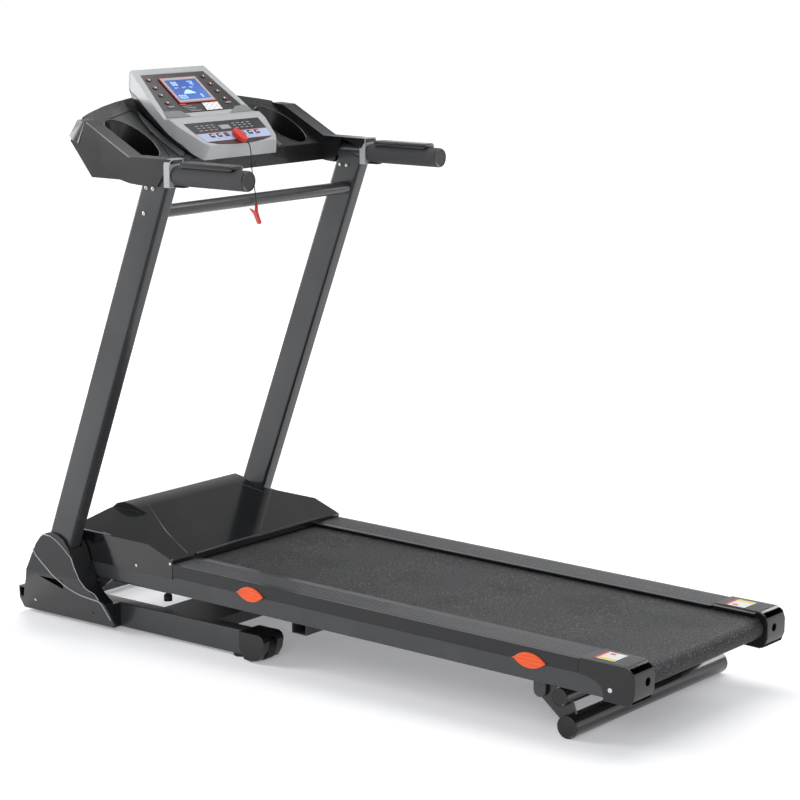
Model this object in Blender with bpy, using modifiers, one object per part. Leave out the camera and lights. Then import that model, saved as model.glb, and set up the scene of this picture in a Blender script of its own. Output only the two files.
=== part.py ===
"""Folding motor treadmill with a two-position incline leg, in metres, +Z up.

+X points to the end where the user steps on, -Y is the user's left hand, and
the origin is on the floor under the middle of the machine.
"""

from math import atan, cos, pi, radians, sin, tan

import bmesh
import bpy
from mathutils import Matrix, Vector

# Driving dimensions
DATUM_X = 0.01064  # the drawing datum, measured from the middle of the whole length
GAP = 0.0003  # between pieces that touch
PLASTIC_WALL = 0.003
STEEL_WALL = 0.002
SIDES = (("left", -1), ("right", 1))

# Base frame, standing on the floor
BASE_TUBE_INNER_Y = 0.2243
BASE_TUBE_OUTER_Y = 0.2613
BASE_TUBE_FRONT_X = -0.832
BASE_TUBE_REAR_X = -0.190
BASE_TUBE_BOTTOM_Z = 0.006
BASE_TUBE_TOP_Z = 0.062
FRONT_CROSS_X = -0.810
FRONT_CROSS_WIDTH = 0.036
CROSS_BOTTOM_Z = 0.010
FRONT_CROSS_TOP_Z = 0.048
REAR_CROSS_FRONT_X = -0.4715
REAR_CROSS_REAR_X = -0.3115
REAR_CROSS_BOTTOM_Z = 0.030
REAR_CROSS_TOP_Z = 0.056
FOOT_RADIUS = 0.018
FOOT_FRONT_X = -0.780
FOOT_REAR_X = -0.2135

# Uprights: they lean towards the user and stand outside the deck
UPRIGHT_Y = 0.322
UPRIGHT_WIDTH = 0.036
UPRIGHT_DEPTH = 0.070
UPRIGHT_LEAN = atan(0.3797)
UPRIGHT_X_AT_FLOOR = -0.7465
UPRIGHT_BOTTOM_Z = 0.115
UPRIGHT_TOP_Z = 1.0180
CROSSBAR_X = -0.3695
CROSSBAR_Z = 0.9615
CROSSBAR_HEIGHT = 0.028
CROSSBAR_DEPTH = 0.040

# Handlebars
GRIP_Y = 0.324
GRIP_Z = 1.0435
HANDLE_RADIUS = 0.0185
GRIP_RADIUS = 0.0218
HANDLE_FRONT_X = -0.405
HANDLE_REAR_X = -0.1160
GRIP_FRONT_X = -0.3030
GRIP_REAR_X = -0.1080

# Dash between the uprights
DASH_HALF_WIDTH = 0.345
DASH_ARM_INNER_Y = 0.3030
DASH_ARM_REAR_X = -0.3085
DASH_ARM_BOTTOM_Z = 1.0187
TRAY_SLOPE = 0.561
TRAY_X = -0.5748
TRAY_Z = 1.1396
BOW_Z = 1.1470
BOW_DEPTH = 0.8207
BOW_LEAN = 0.74
CUP_X = -0.512
CUP_Y = 0.2450
CUP_HALF_LENGTH = 0.066
CUP_HALF_WIDTH = 0.048
CUP_FLOOR_Z = 1.030

# Console
CONSOLE_FACE_SLOPE = 0.791
CONSOLE_KEYPAD_SLOPE = 0.667
CONSOLE_WALL = 0.003
BUTTON_YS = (-0.074, -0.0505, -0.027, 0.027, 0.0505, 0.074)
BUTTON_X = -0.4335
BUTTON_SIZE = 0.014
FACE_CENTER_X = -0.5560
KEY_SLIDE_X = -0.4235

# Safety key's cord, from the key over the console's lip and down past the crossbar
CORD_RADIUS = 0.0012
CORD_ROUTE = (
    (-0.3990, 0.0005, 1.0868),
    (-0.3945, 0.0012, 1.0842),
    (-0.3907, 0.0022, 1.0765),
    (-0.3885, 0.0032, 1.0600),
    (-0.3870, 0.0028, 1.0380),
    (-0.3845, 0.0005, 1.0290),
    (-0.3700, -0.0120, 1.0100),
    (-0.3545, -0.0250, 0.9894),
    (-0.3455, -0.0313, 0.9667),
    (-0.3440, -0.0317, 0.9563),
)

# Spring clip on the cord's end
CLIP_X = -0.3440
CLIP_Y = -0.0333
CLIP_HINGE_Z = 0.9348
CLIP_LEAN = radians(25.9)

# Fold pivot and the deck, which tilts a little down towards the rear
PIVOT_X = -0.6165
PIVOT_Z = 0.108
DECK_TILT = radians(0.83)
DECK_TUBE_INNER_Y = 0.256
DECK_TUBE_OUTER_Y = 0.284
DECK_TUBE_BOTTOM = 0.012
DECK_TUBE_TOP = 0.052
DECK_TUBE_FRONT = -0.030
DECK_TUBE_REAR = 1.400
RAIL_OUTER_Y = 0.2857
RAIL_INNER_Y = 0.200
RAIL_TOP = 0.080
RAIL_FRONT = 0.2405
RAIL_REAR = 1.3110
BOARD_FRONT = 0.206
BOARD_REAR = 1.372
BOARD_BOTTOM = 0.0525
BOARD_TOP = 0.0700
ROLLER_RADIUS = 0.0220
ROLLER_Z = 0.0480
FRONT_ROLLER = 0.165
REAR_ROLLER = 1.408
BELT_HALF_WIDTH = 0.2125
BELT_THICKNESS = 0.0020
BIG_PULLEY_RADIUS = 0.034
SMALL_PULLEY_RADIUS = 0.014
PULLEY_OUTER_Y = -0.2395
PULLEY_INNER_Y = -0.2225
MOTOR_X = -0.030
MOTOR_Z = 0.085
MOTOR_RADIUS = 0.040
HOOD_HALF_WIDTH = 0.2865
HOOD_REAR = 0.240
SWITCH_X = -0.0735
SWITCH_Z = 0.0733
CAP_FRONT = 1.3115
CAP_REAR = 1.4415
CAP_OUTER_Y = 0.287
CAP_INNER_Y = 0.2140

# Incline leg
LEG_PIVOT_X = 0.5933
LEG_PIVOT_Z = 0.0821
FOOT_TUBE_X = 0.6685
FOOT_TUBE_RADIUS = 0.0236
STOP_TUBE_X = 0.6491
STOP_TUBE_Z = 0.0805
STOP_TUBE_RADIUS = 0.0195
LEG_HALF_WIDTH = 0.280

# Fold strut
STRUT_BASE_X = -0.400
STRUT_BASE_Z = 0.072
STRUT_TOP_X = -0.0565
STRUT_TOP_Z = 0.0779


def new_collection(name, hidden):
    collection = bpy.data.collections.new(name)
    collection.hide_render = hidden
    bpy.context.scene.collection.children.link(collection)
    return collection


def clear_scene():
    for obj in list(bpy.data.objects):
        bpy.data.objects.remove(obj, do_unlink=True)


clear_scene()
PARTS = new_collection("treadmill", False)
CUTTERS = new_collection("treadmill_cutters", True)


def material(name, color, roughness, metallic=0.0):
    """A plain Principled material."""
    made = bpy.data.materials.new(name)
    made.use_nodes = True
    shader = made.node_tree.nodes["Principled BSDF"]
    shader.inputs["Base Color"].default_value = (*color, 1.0)
    shader.inputs["Roughness"].default_value = roughness
    shader.inputs["Metallic"].default_value = metallic
    return made


PAINT = material("charcoal_paint", (0.055, 0.058, 0.062), 0.42, 0.3)
BLACK = material("black_plastic", (0.012, 0.012, 0.013), 0.35)
GLOSS = material("gloss_black_plastic", (0.010, 0.010, 0.012), 0.16)
SILVER = material("silver_plastic", (0.48, 0.49, 0.50), 0.35, 0.2)
RUBBER = material("black_rubber", (0.015, 0.015, 0.015), 0.8)
FOAM = material("grip_foam", (0.045, 0.046, 0.048), 0.85)
BELTING = material("walking_belt", (0.030, 0.031, 0.033), 0.75)
STEEL = material("bare_steel", (0.45, 0.45, 0.46), 0.3, 1.0)
CHROME = material("chrome_plate", (0.7, 0.7, 0.72), 0.12, 1.0)
BOARD = material("deck_board", (0.20, 0.14, 0.08), 0.6)
GLASS = material("display_lens", (0.03, 0.08, 0.35), 0.1)
RED = material("red_plastic", (0.75, 0.04, 0.03), 0.35)
ALUMINIUM = material("cast_aluminium", (0.55, 0.56, 0.57), 0.4, 1.0)


def empty(name, location, parent=None):
    made = bpy.data.objects.new(name, None)
    made.location = location
    made.empty_display_size = 0.03
    made.parent = parent
    PARTS.objects.link(made)
    return made


DATUM = empty("drawing_datum", (DATUM_X, 0, 0))


def put(obj, name, parent=DATUM):
    """Names the object, moves it to the parts and hangs it on its parent."""
    obj.name = name
    obj.data.name = name
    for collection in list(obj.users_collection):
        collection.objects.unlink(obj)
    PARTS.objects.link(obj)
    hang(obj, parent)
    return obj


def hang(obj, parent):
    """Parents the object and, through its Booleans, every helper it uses."""
    obj.parent = parent
    for step in obj.modifiers:
        if step.type == "BOOLEAN":
            hang(step.object, parent)


def finish(obj, made_of, smooth_angle=None):
    obj.data.materials.clear()
    obj.data.materials.append(made_of)
    if smooth_angle is not None:
        obj.data.shade_smooth()
        obj.data.set_sharp_from_angle(angle=radians(smooth_angle))
    return obj


def to_cutters(obj):
    for collection in list(obj.users_collection):
        collection.objects.unlink(obj)
    CUTTERS.objects.link(obj)
    obj.hide_render = True
    obj.display_type = "WIRE"
    return obj


def boolean(obj, other, operation):
    """Cuts, joins or intersects obj with other, which becomes a helper."""
    step = obj.modifiers.new(operation.lower(), "BOOLEAN")
    step.operation = operation
    step.object = to_cutters(other)
    step.solver = "EXACT"
    return obj


def cut(obj, other):
    return boolean(obj, other, "DIFFERENCE")


def join(obj, other):
    return boolean(obj, other, "UNION")


def common(obj, other):
    return boolean(obj, other, "INTERSECT")


def round_edges(obj, width, segments=2, angle=30.0):
    step = obj.modifiers.new("round_edges", "BEVEL")
    step.width = width
    step.segments = segments
    step.limit_method = "ANGLE"
    step.angle_limit = radians(angle)
    return obj


def block(low, high, name="block"):
    """A box between two corners, its scale applied."""
    low, high = Vector(low), Vector(high)
    bpy.ops.mesh.primitive_cube_add(size=1.0, location=(low + high) / 2)
    obj = bpy.context.active_object
    obj.name = name
    obj.data.transform(Matrix.Diagonal((*(high - low), 1.0)))
    return obj


def side_block(side, x, y, z, name="block"):
    """A box given by its ranges, with y measured outwards on one side."""
    ys = sorted((side * y[0], side * y[1]))
    return block((x[0], ys[0], z[0]), (x[1], ys[1], z[1]), name)


def rod(radius, start, end, segments=24, name="rod"):
    """A cylinder from one point to another."""
    start, end = Vector(start), Vector(end)
    run = end - start
    bpy.ops.mesh.primitive_cylinder_add(
        vertices=segments, radius=radius, depth=run.length, location=(start + end) / 2
    )
    obj = bpy.context.active_object
    obj.name = name
    obj.rotation_mode = "QUATERNION"
    obj.rotation_quaternion = run.to_track_quat("Z", "Y")
    return obj


def across(radius, x, z, y, segments=24, name="rod"):
    """A cylinder along Y."""
    return rod(radius, (x, y[0], z), (x, y[1], z), segments, name)


def prism(outline, y, name="prism"):
    """An outline in the XZ plane, extruded along Y between two values."""
    curve = bpy.data.curves.new(name, "CURVE")
    curve.dimensions = "2D"
    curve.fill_mode = "BOTH"
    curve.extrude = abs(y[1] - y[0]) / 2
    spline = curve.splines.new("POLY")
    spline.points.add(len(outline) - 1)
    for point, (x, z) in zip(spline.points, outline):
        point.co = (x, z, 0.0, 1.0)
    spline.use_cyclic_u = True
    turn = Matrix.Rotation(pi / 2, 4, "X")
    return solid_from_curve(curve, name, Matrix.Translation((0, (y[0] + y[1]) / 2, 0)) @ turn)


def slab(outline, z, name="slab"):
    """An outline in the XY plane, extruded along Z between two values."""
    curve = bpy.data.curves.new(name, "CURVE")
    curve.dimensions = "2D"
    curve.fill_mode = "BOTH"
    curve.extrude = abs(z[1] - z[0]) / 2
    spline = curve.splines.new("POLY")
    spline.points.add(len(outline) - 1)
    for point, (x, y) in zip(spline.points, outline):
        point.co = (x, y, 0.0, 1.0)
    spline.use_cyclic_u = True
    return solid_from_curve(curve, name, Matrix.Translation((0, 0, (z[0] + z[1]) / 2)))


def solid_from_curve(curve, name, place):
    """The filled curve as a welded mesh object."""
    helper = bpy.data.objects.new(name, curve)
    bpy.context.scene.collection.objects.link(helper)
    bpy.context.view_layer.update()
    graph = bpy.context.evaluated_depsgraph_get()
    mesh = bpy.data.meshes.new_from_object(helper.evaluated_get(graph))
    bpy.data.objects.remove(helper, do_unlink=True)
    shape = bmesh.new()
    shape.from_mesh(mesh)
    bmesh.ops.remove_doubles(shape, verts=shape.verts, dist=0.00001)
    bmesh.ops.recalc_face_normals(shape, faces=shape.faces)
    shape.to_mesh(mesh)
    shape.free()
    obj = bpy.data.objects.new(name, mesh)
    obj.matrix_world = place
    bpy.context.scene.collection.objects.link(obj)
    return obj


def arc(center, radius, start, end, steps):
    """Points on an arc, angles in degrees."""
    turns = [radians(start + (end - start) * i / steps) for i in range(steps + 1)]
    return [(center[0] + radius * cos(a), center[1] + radius * sin(a)) for a in turns]


def hull(circles, steps=24):
    """The outline that a string pulled round the circles would take."""
    points = []
    for x, z, radius in circles:
        points += arc((x, z), radius, 0.0, 360.0 * (steps - 1) / steps, steps - 1)
    points.sort()
    outline = []
    for order in (points, points[::-1]):
        half = []
        for point in order:
            while len(half) > 1 and turn_of(half[-2], half[-1], point) <= 0:
                half.pop()
            half.append(point)
        outline += half[:-1]
    return outline


def turn_of(a, b, c):
    return (b[0] - a[0]) * (c[1] - a[1]) - (b[1] - a[1]) * (c[0] - a[0])


def ellipse(x, y, half_x, half_y, steps=20):
    turns = [2 * pi * i / steps for i in range(steps)]
    return [(x + half_x * cos(a), y + half_y * sin(a)) for a in turns]


# Base


def base_frame():
    for word, side in SIDES:
        tube = side_block(
            side,
            (BASE_TUBE_FRONT_X, BASE_TUBE_REAR_X),
            (BASE_TUBE_INNER_Y, BASE_TUBE_OUTER_Y),
            (BASE_TUBE_BOTTOM_Z, BASE_TUBE_TOP_Z),
        )
        round_edges(tube, 0.004)
        cut(
            tube,
            side_block(
                side,
                (BASE_TUBE_FRONT_X - 0.01, BASE_TUBE_REAR_X + 0.01),
                (BASE_TUBE_INNER_Y + STEEL_WALL, BASE_TUBE_OUTER_Y - STEEL_WALL),
                (BASE_TUBE_BOTTOM_Z + STEEL_WALL, BASE_TUBE_TOP_Z - STEEL_WALL),
            ),
        )
        finish(put(tube, f"base_side_tube_{word}"), PAINT)
        for end, x in (("front", FOOT_FRONT_X), ("rear", FOOT_REAR_X)):
            y = side * (BASE_TUBE_INNER_Y + BASE_TUBE_OUTER_Y) / 2
            foot = rod(FOOT_RADIUS, (x, y, 0.0), (x, y, BASE_TUBE_BOTTOM_Z - GAP), 20)
            finish(put(foot, f"base_foot_{end}_{word}"), RUBBER, 40)
    cross_y = BASE_TUBE_INNER_Y - GAP
    front = block(
        (FRONT_CROSS_X - FRONT_CROSS_WIDTH / 2, -cross_y, CROSS_BOTTOM_Z),
        (FRONT_CROSS_X + FRONT_CROSS_WIDTH / 2, cross_y, FRONT_CROSS_TOP_Z),
    )
    hollow(front, 1, STEEL_WALL)
    finish(put(front, "base_front_cross_tube"), PAINT)
    rear = block(
        (REAR_CROSS_FRONT_X, -cross_y, REAR_CROSS_BOTTOM_Z),
        (REAR_CROSS_REAR_X, cross_y, REAR_CROSS_TOP_Z),
    )
    hollow(rear, 1, STEEL_WALL)
    for side in (-1, 1):
        ear = prism(
            hull(
                (
                    (STRUT_BASE_X, STRUT_BASE_Z, 0.011),
                    (STRUT_BASE_X - 0.012, REAR_CROSS_TOP_Z - 0.001, 0.001),
                    (STRUT_BASE_X + 0.012, REAR_CROSS_TOP_Z - 0.001, 0.001),
                ),
                16,
            ),
            sorted((side * 0.0125, side * 0.0165)),
        )
        join(rear, ear)
    join(rear, across(0.004, STRUT_BASE_X, STRUT_BASE_Z, (-0.0150, 0.0150), 16))
    finish(put(rear, "base_rear_cross_tube"), PAINT)


def hollow(tube, axis, wall):
    """Bores a box-section tube from end to end along one axis."""
    low, high = ends_of(tube)
    for k in range(3):
        grow = 0.01 if k == axis else -wall
        low[k] -= grow
        high[k] += grow
    return cut(tube, block(low, high))


def ends_of(obj):
    points = [obj.location + corner.co for corner in obj.data.vertices]
    low = Vector(min(p[k] for p in points) for k in range(3))
    high = Vector(max(p[k] for p in points) for k in range(3))
    return low, high


def end_caps_and_wheels():
    wheel_x, wheel_z, wheel_radius = -0.1465, 0.0285, 0.0250
    slot = (0.2345, 0.2595)
    for word, side in SIDES:
        outline = [(BASE_TUBE_REAR_X + GAP, 0.0645), (BASE_TUBE_REAR_X + GAP, 0.0300)]
        outline += [(-0.1750, 0.0050), (-0.1550, 0.0030), (-0.1350, 0.0080)]
        outline += [(-0.1225, 0.0280), (-0.1185, 0.0500), (-0.1230, 0.0600), (-0.1320, 0.0645)]
        cap = prism(outline, sorted((side * 0.2130, side * 0.2790)))
        cut(
            cap,
            side_block(side, (-0.1790, -0.1000), slot, (-0.0100, 0.0580)),
        )
        ys = sorted((side * 0.2180, side * 0.2750))
        cut(cap, across(0.0047, wheel_x, wheel_z, ys, 20))
        finish(put(cap, f"base_end_cap_{word}"), BLACK)
        wheel = across(
            wheel_radius, 0, 0, sorted((side * (slot[0] + 0.0010), side * (slot[1] - 0.0010))), 28
        )
        join(wheel, across(0.0040, 0, 0, sorted((side * 0.2200, side * 0.2730)), 20))
        axle = empty(f"transport_wheel_{word}_axis", (wheel_x, 0, wheel_z), DATUM)
        put(wheel, f"transport_wheel_{word}", axle)
        finish(wheel, RUBBER, 40)


def pivot_brackets():
    """Plates between base and upright that carry the deck's fold pins."""
    for word, side in SIDES:
        outline = [(-0.7440, 0.0490), (-0.5980, 0.0490)]
        outline += arc((PIVOT_X, PIVOT_Z), 0.0112, 0, 100, 6)
        outline += [(-0.6480, 0.1500), (-0.6780, 0.1880), (-0.7080, 0.1880), (-0.7440, 0.1200)]
        plate = prism(outline, sorted((side * 0.2925, side * (0.3040 - GAP))))
        join(
            plate,
            side_block(side, (-0.7200, -0.6000), (BASE_TUBE_OUTER_Y + GAP, 0.2950), (0.0405, 0.0560)),
        )
        join(plate, across(0.0080, PIVOT_X, PIVOT_Z, sorted((side * 0.2590, side * 0.2980)), 24))
        finish(put(plate, f"pivot_bracket_{word}"), PAINT)


def cover_outline(inset):
    """The side outline of the cover at the foot of each upright."""
    points = [(-0.8485, 0.0080), (-0.8400, 0.0260), (-0.8180, 0.0590), (-0.7950, 0.0900)]
    points += [(-0.7700, 0.1280), (-0.7540, 0.1600), (-0.7390, 0.1880), (-0.7230, 0.2070)]
    points += [(-0.7050, 0.2170), (-0.6880, 0.2200), (-0.6690, 0.2180), (-0.6500, 0.2090)]
    points += [(-0.6330, 0.1850), (-0.6240, 0.1610), (-0.6120, 0.1320), (-0.5950, 0.1000)]
    points += [(-0.5710, 0.0800), (-0.5560, 0.0700), (-0.5530, 0.0440), (-0.5530, 0.0080)]
    middle = Vector((-0.6950, 0.0900))
    moved = []
    for point in points:
        toward = (middle - Vector(point)).normalized()
        moved.append(tuple(Vector(point) + 1.25 * inset * toward))
    return moved[::-1]


def base_covers():
    inner_y, outer_y = 0.2892, 0.3480
    for word, side in SIDES:
        cover = prism(cover_outline(0), sorted((side * inner_y, side * outer_y)))
        low = side_block(side, (-0.8470, -0.5600), (0.2618, 0.3000), (0.0080, 0.0630))
        join(cover, low)
        cut(cover, flare_wedge(side, 0.0))
        inside = prism(
            cover_outline(PLASTIC_WALL),
            sorted((side * (inner_y + PLASTIC_WALL), side * (outer_y - PLASTIC_WALL))),
        )
        join(
            inside,
            side_block(side, (-0.8435, -0.5640), (0.2500, 0.3000), (-0.0100, 0.0600)),
        )
        cut(inside, flare_wedge(side, PLASTIC_WALL))
        cut(cover, inside)
        cut(cover, side_block(side, (-0.8435, -0.5635), (0.2640, 0.2860), (-0.01, 0.0300)))
        cut(cover, across(0.0115, PIVOT_X, PIVOT_Z, sorted((side * 0.2800, side * 0.3000)), 24))
        cut(cover, upright_block(side, 0.0015, 0.10, 0.30))
        finish(put(cover, f"base_cover_{word}"), BLACK, 30)


def flare_wedge(side, inset):
    """What the cover's lower half leaves away: it draws in towards the floor."""
    top_z, low_z = 0.1250, 0.0000
    outline = [(0.3485 - inset, top_z), (0.2820 - inset, low_z), (0.2820 - inset, -0.05)]
    outline += [(0.42, -0.05), (0.42, top_z + inset)]
    points = [(side * y, z) for y, z in outline]
    curve = bpy.data.curves.new("flare", "CURVE")
    curve.dimensions = "2D"
    curve.fill_mode = "BOTH"
    curve.extrude = 0.2
    spline = curve.splines.new("POLY")
    spline.points.add(len(points) - 1)
    for point, (y, z) in zip(spline.points, points):
        point.co = (y, z, 0.0, 1.0)
    spline.use_cyclic_u = True
    turn = Matrix.Rotation(pi / 2, 4, "Z") @ Matrix.Rotation(pi / 2, 4, "X")
    return solid_from_curve(curve, "flare", Matrix.Translation((-0.705, 0, 0)) @ turn)


def upright_block(side, grow, low_z, high_z):
    """A box along an upright's slanted centre line."""
    middle_z = (low_z + high_z) / 2
    length = (high_z - low_z) / cos(UPRIGHT_LEAN)
    half = Vector((UPRIGHT_DEPTH / 2 + grow, UPRIGHT_WIDTH / 2 + grow, length / 2))
    obj = block(-half, half)
    x = UPRIGHT_X_AT_FLOOR + tan(UPRIGHT_LEAN) * middle_z
    obj.location = (x, side * UPRIGHT_Y, middle_z)
    obj.rotation_euler = (0, UPRIGHT_LEAN, 0)
    return obj


def uprights():
    """Each upright with the handlebar tube that is welded across its head."""
    for word, side in SIDES:
        post = upright_block(side, 0.0, UPRIGHT_BOTTOM_Z - 0.03, UPRIGHT_TOP_Z + 0.03)
        round_edges(post, 0.008, 3)
        cut(post, upright_block(side, -STEEL_WALL, UPRIGHT_BOTTOM_Z - 0.06, UPRIGHT_TOP_Z + 0.06))
        cut(post, side_block(side, (-1, 0), (0.2, 0.4), (UPRIGHT_BOTTOM_Z - 0.1, UPRIGHT_BOTTOM_Z)))
        cut(post, side_block(side, (-1, 0), (0.2, 0.4), (GRIP_Z, UPRIGHT_TOP_Z + 0.1)))
        bar = rod(
            HANDLE_RADIUS,
            (HANDLE_FRONT_X, side * GRIP_Y, GRIP_Z),
            (HANDLE_REAR_X, side * GRIP_Y, GRIP_Z),
            24,
        )
        join(post, bar)
        cut(
            post,
            rod(
                HANDLE_RADIUS - STEEL_WALL,
                (HANDLE_FRONT_X - 0.01, side * GRIP_Y, GRIP_Z),
                (HANDLE_REAR_X + 0.01, side * GRIP_Y, GRIP_Z),
                24,
            ),
        )
        finish(put(post, f"upright_{word}"), PAINT, 30)
    inner = UPRIGHT_Y - UPRIGHT_WIDTH / 2 - GAP
    bar = across(0.5, 0, 0, (-inner, inner), 24)
    bar.data.transform(Matrix.Diagonal((CROSSBAR_DEPTH, CROSSBAR_HEIGHT, 1.0, 1.0)))
    bar.location = (CROSSBAR_X, 0, CROSSBAR_Z)
    finish(put(bar, "crossbar"), PAINT, 40)


def handlebar_grips():
    for word, side in SIDES:
        ends = ((GRIP_FRONT_X, side * GRIP_Y, GRIP_Z), (GRIP_REAR_X, side * GRIP_Y, GRIP_Z))
        sleeve = rod(GRIP_RADIUS, *ends, 28)
        bore_end = (HANDLE_REAR_X + GAP, side * GRIP_Y, GRIP_Z)
        cut(sleeve, rod(HANDLE_RADIUS + GAP, (GRIP_FRONT_X - 0.01, *ends[0][1:]), bore_end, 24))
        finish(put(sleeve, f"grip_{word}"), FOAM, 40)
        low = GRIP_Z + GRIP_RADIUS * 0.80
        top = GRIP_Z + GRIP_RADIUS + 0.0085
        plate = side_block(
            side, (-0.2860, -0.1360), (GRIP_Y - 0.019, GRIP_Y + 0.019), (low, top)
        )
        round_edges(plate, 0.005, 2)
        cut(plate, rod(GRIP_RADIUS + GAP, (-0.32, *ends[0][1:]), (-0.10, *ends[0][1:]), 28))
        finish(put(plate, f"pulse_grip_{word}"), CHROME, 40)


# Dash and console


def tray_z(x):
    """Height of the tray's sloping top above the floor."""
    return TRAY_Z - TRAY_SLOPE * (x - TRAY_X)


def arm_outline():
    top, low = 1.0770, DASH_ARM_BOTTOM_Z
    outline = [(DASH_ARM_REAR_X, top), (DASH_ARM_REAR_X, low), (-0.3940, low)]
    outline += [(-0.4250, 1.0210), (-0.4548, 1.0275), (-0.5069, 1.0555), (-0.5747, 1.0925)]
    outline += [(-0.6120, 1.1117), (-0.5850, 1.1470), (-0.5530, 1.1435), (-0.4290, top + 0.0010)]
    return outline


def tray_outline(inset):
    """Side outline of the tray between the arms."""
    rear, front = -0.4365 - inset, -0.6510 + inset
    low = 1.0220 - (0.02 if inset else 0.0)
    outline = [(rear, tray_z(rear) - inset), (rear, low), (-0.5710 - inset, low)]
    outline += [(-0.6150 + inset, 1.0750), (-0.6771 + inset, 1.1470)]
    outline += [(front, tray_z(front) - inset)]
    return outline


def front_bow(inset):
    """Bows the tray's front face, which leans back towards its top edge."""
    half = DASH_HALF_WIDTH - inset
    corner = 0.3360 - inset
    points = [(-0.2500, half), (-0.5540 + inset, half)]
    steps = 12
    for i in range(steps + 1):
        y = corner * (1 - 2 * i / steps)
        points.append((-0.6771 + inset + BOW_DEPTH * y * y, y))
    points += [(-0.5540 + inset, -half), (-0.2500, -half)]
    bow = slab(points, (BOW_Z - 0.3, BOW_Z + 0.3))
    lean = Matrix.Identity(4)
    lean[0][2] = BOW_LEAN
    bow.data.transform(lean)
    return bow


def dash():
    tray = prism(tray_outline(0), (-0.3100, 0.3100), "dash_tray")
    for side in (-1, 1):
        join(tray, prism(arm_outline(), sorted((side * DASH_ARM_INNER_Y, side * DASH_HALF_WIDTH))))
    common(tray, front_bow(0.0))
    inside = prism(tray_outline(PLASTIC_WALL), (-0.2995, 0.2995))
    common(inside, front_bow(PLASTIC_WALL))
    cut(tray, inside)
    for side in (-1, 1):
        well = slab(
            ellipse(CUP_X, side * CUP_Y, CUP_HALF_LENGTH + 0.003, CUP_HALF_WIDTH + 0.003),
            (CUP_FLOOR_Z - 0.003, 1.2),
        )
        common(well, prism(tray_outline(0), (-0.3100, 0.3100)))
        join(tray, well)
        cut(
            tray,
            slab(ellipse(CUP_X, side * CUP_Y, CUP_HALF_LENGTH, CUP_HALF_WIDTH), (CUP_FLOOR_Z, 1.2)),
        )
        ends = ((-0.42, side * GRIP_Y, GRIP_Z), (-0.30, side * GRIP_Y, GRIP_Z))
        cut(tray, rod(HANDLE_RADIUS + 0.0005, *ends, 24))
        cut(tray, upright_block(side, 0.0010, 0.95, GRIP_Z + 0.020))
    finish(put(tray, "dash_tray"), BLACK, 30)


def console_profile(inset):
    """Side outline of the console, from its top edge down to its front lip."""
    top = [(-0.6420 + inset, 1.2340 - inset), (-0.6345, 1.2400 - inset)]
    top += [(-0.5075, 1.1395 - inset), (-0.4923, 1.1405 - inset), (-0.4815, 1.1345 - inset)]
    top += [(-0.4065 - inset, 1.0845 - inset), (-0.4139 - inset, 1.0537 + inset)]
    low = [(-0.4160 - inset, tray_z(-0.4160) + 0.0020)]
    low += [(-0.6100 + inset, tray_z(-0.6100) + 0.0020), (-0.6480 + inset, 1.2000)]
    return (top + low)[::-1]


def console_plan(inset):
    """Half widths of the console at stations along X."""
    stations = ((-0.6500, 0.112), (-0.6300, 0.122), (-0.5600, 0.139), (-0.4950, 0.150))
    stations += ((-0.4700, 0.147), (-0.4200, 0.123), (-0.4065, 0.110), (-0.3900, 0.110))
    near = [(x, -w + inset) for x, w in stations]
    far = [(x, w - inset) for x, w in reversed(stations)]
    return near + far


def console_solid(inset, name):
    solid = prism(console_profile(inset), (-0.2, 0.2), name)
    return common(solid, slab(console_plan(inset), (0.9, 1.4)))


def housing_split(drop):
    """Slanting half space above the line between housing and back cover."""
    outline = [(-0.70, 1.2240 - drop), (-0.6100, 1.1830 - drop), (-0.4600, 1.0850 - drop)]
    outline += [(-0.4200, 1.0480 - drop), (-0.35, 1.0300 - drop)]
    outline += [(-0.35, 1.4), (-0.70, 1.4)]
    return prism(outline, (-0.25, 0.25), "split")


def console():
    housing = console_solid(0.0, "console_housing")
    common(housing, housing_split(0.0))
    hollowed = console_solid(CONSOLE_WALL, "console_hollow")
    cut(housing, hollowed)
    cut(housing, face_pocket(0.0))
    for y in BUTTON_YS:
        cut(housing, on_keypad(y, BUTTON_SIZE / 2 + 0.0006, -0.02, 0.02))
    cut(housing, on_keypad(0.0, 0.0075, -0.02, 0.02, KEY_SLIDE_X))
    finish(put(housing, "console_housing"), SILVER, 30)
    back = console_solid(0.0, "console_back_cover")
    cut(back, housing_split(GAP))
    scoop = console_solid(CONSOLE_WALL, "back_hollow")
    cut(back, scoop)
    finish(put(back, "console_back_cover"), BLACK, 30)


def face_frame(x, y, slope, z_at):
    """Matrix with its Z axis square to a sloping panel, at a point on it."""
    turn = Matrix.Rotation(atan(slope), 4, "Y")
    return Matrix.Translation((x, y, z_at(x))) @ turn


def face_z(x):
    return 1.2400 - CONSOLE_FACE_SLOPE * (x + 0.6345)


def keypad_z(x):
    return 1.1345 - CONSOLE_KEYPAD_SLOPE * (x + 0.4815)


def on_keypad(y, half, low, high, x=BUTTON_X):
    """A square peg standing on the keypad's plane."""
    peg = block((-half, -half, low), (half, half, high))
    peg.matrix_world = face_frame(x, y, CONSOLE_KEYPAD_SLOPE, keypad_z)
    return peg


def face_plate_outline(grow):
    return [
        (-0.0820 - grow, -0.1030 - grow),
        (0.0480 + grow, -0.1310 - grow),
        (0.0480 + grow, 0.1310 + grow),
        (-0.0820 - grow, 0.1030 + grow),
    ]


def on_face(outline, low, high):
    """An outline in the display panel's plane, extruded square to it."""
    obj = slab(outline, (low, high))
    obj.matrix_world = face_frame(FACE_CENTER_X, 0, CONSOLE_FACE_SLOPE, face_z) @ obj.matrix_world
    return obj


def face_pocket(grow):
    return on_face(face_plate_outline(grow), -0.0110, 0.03)


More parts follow.
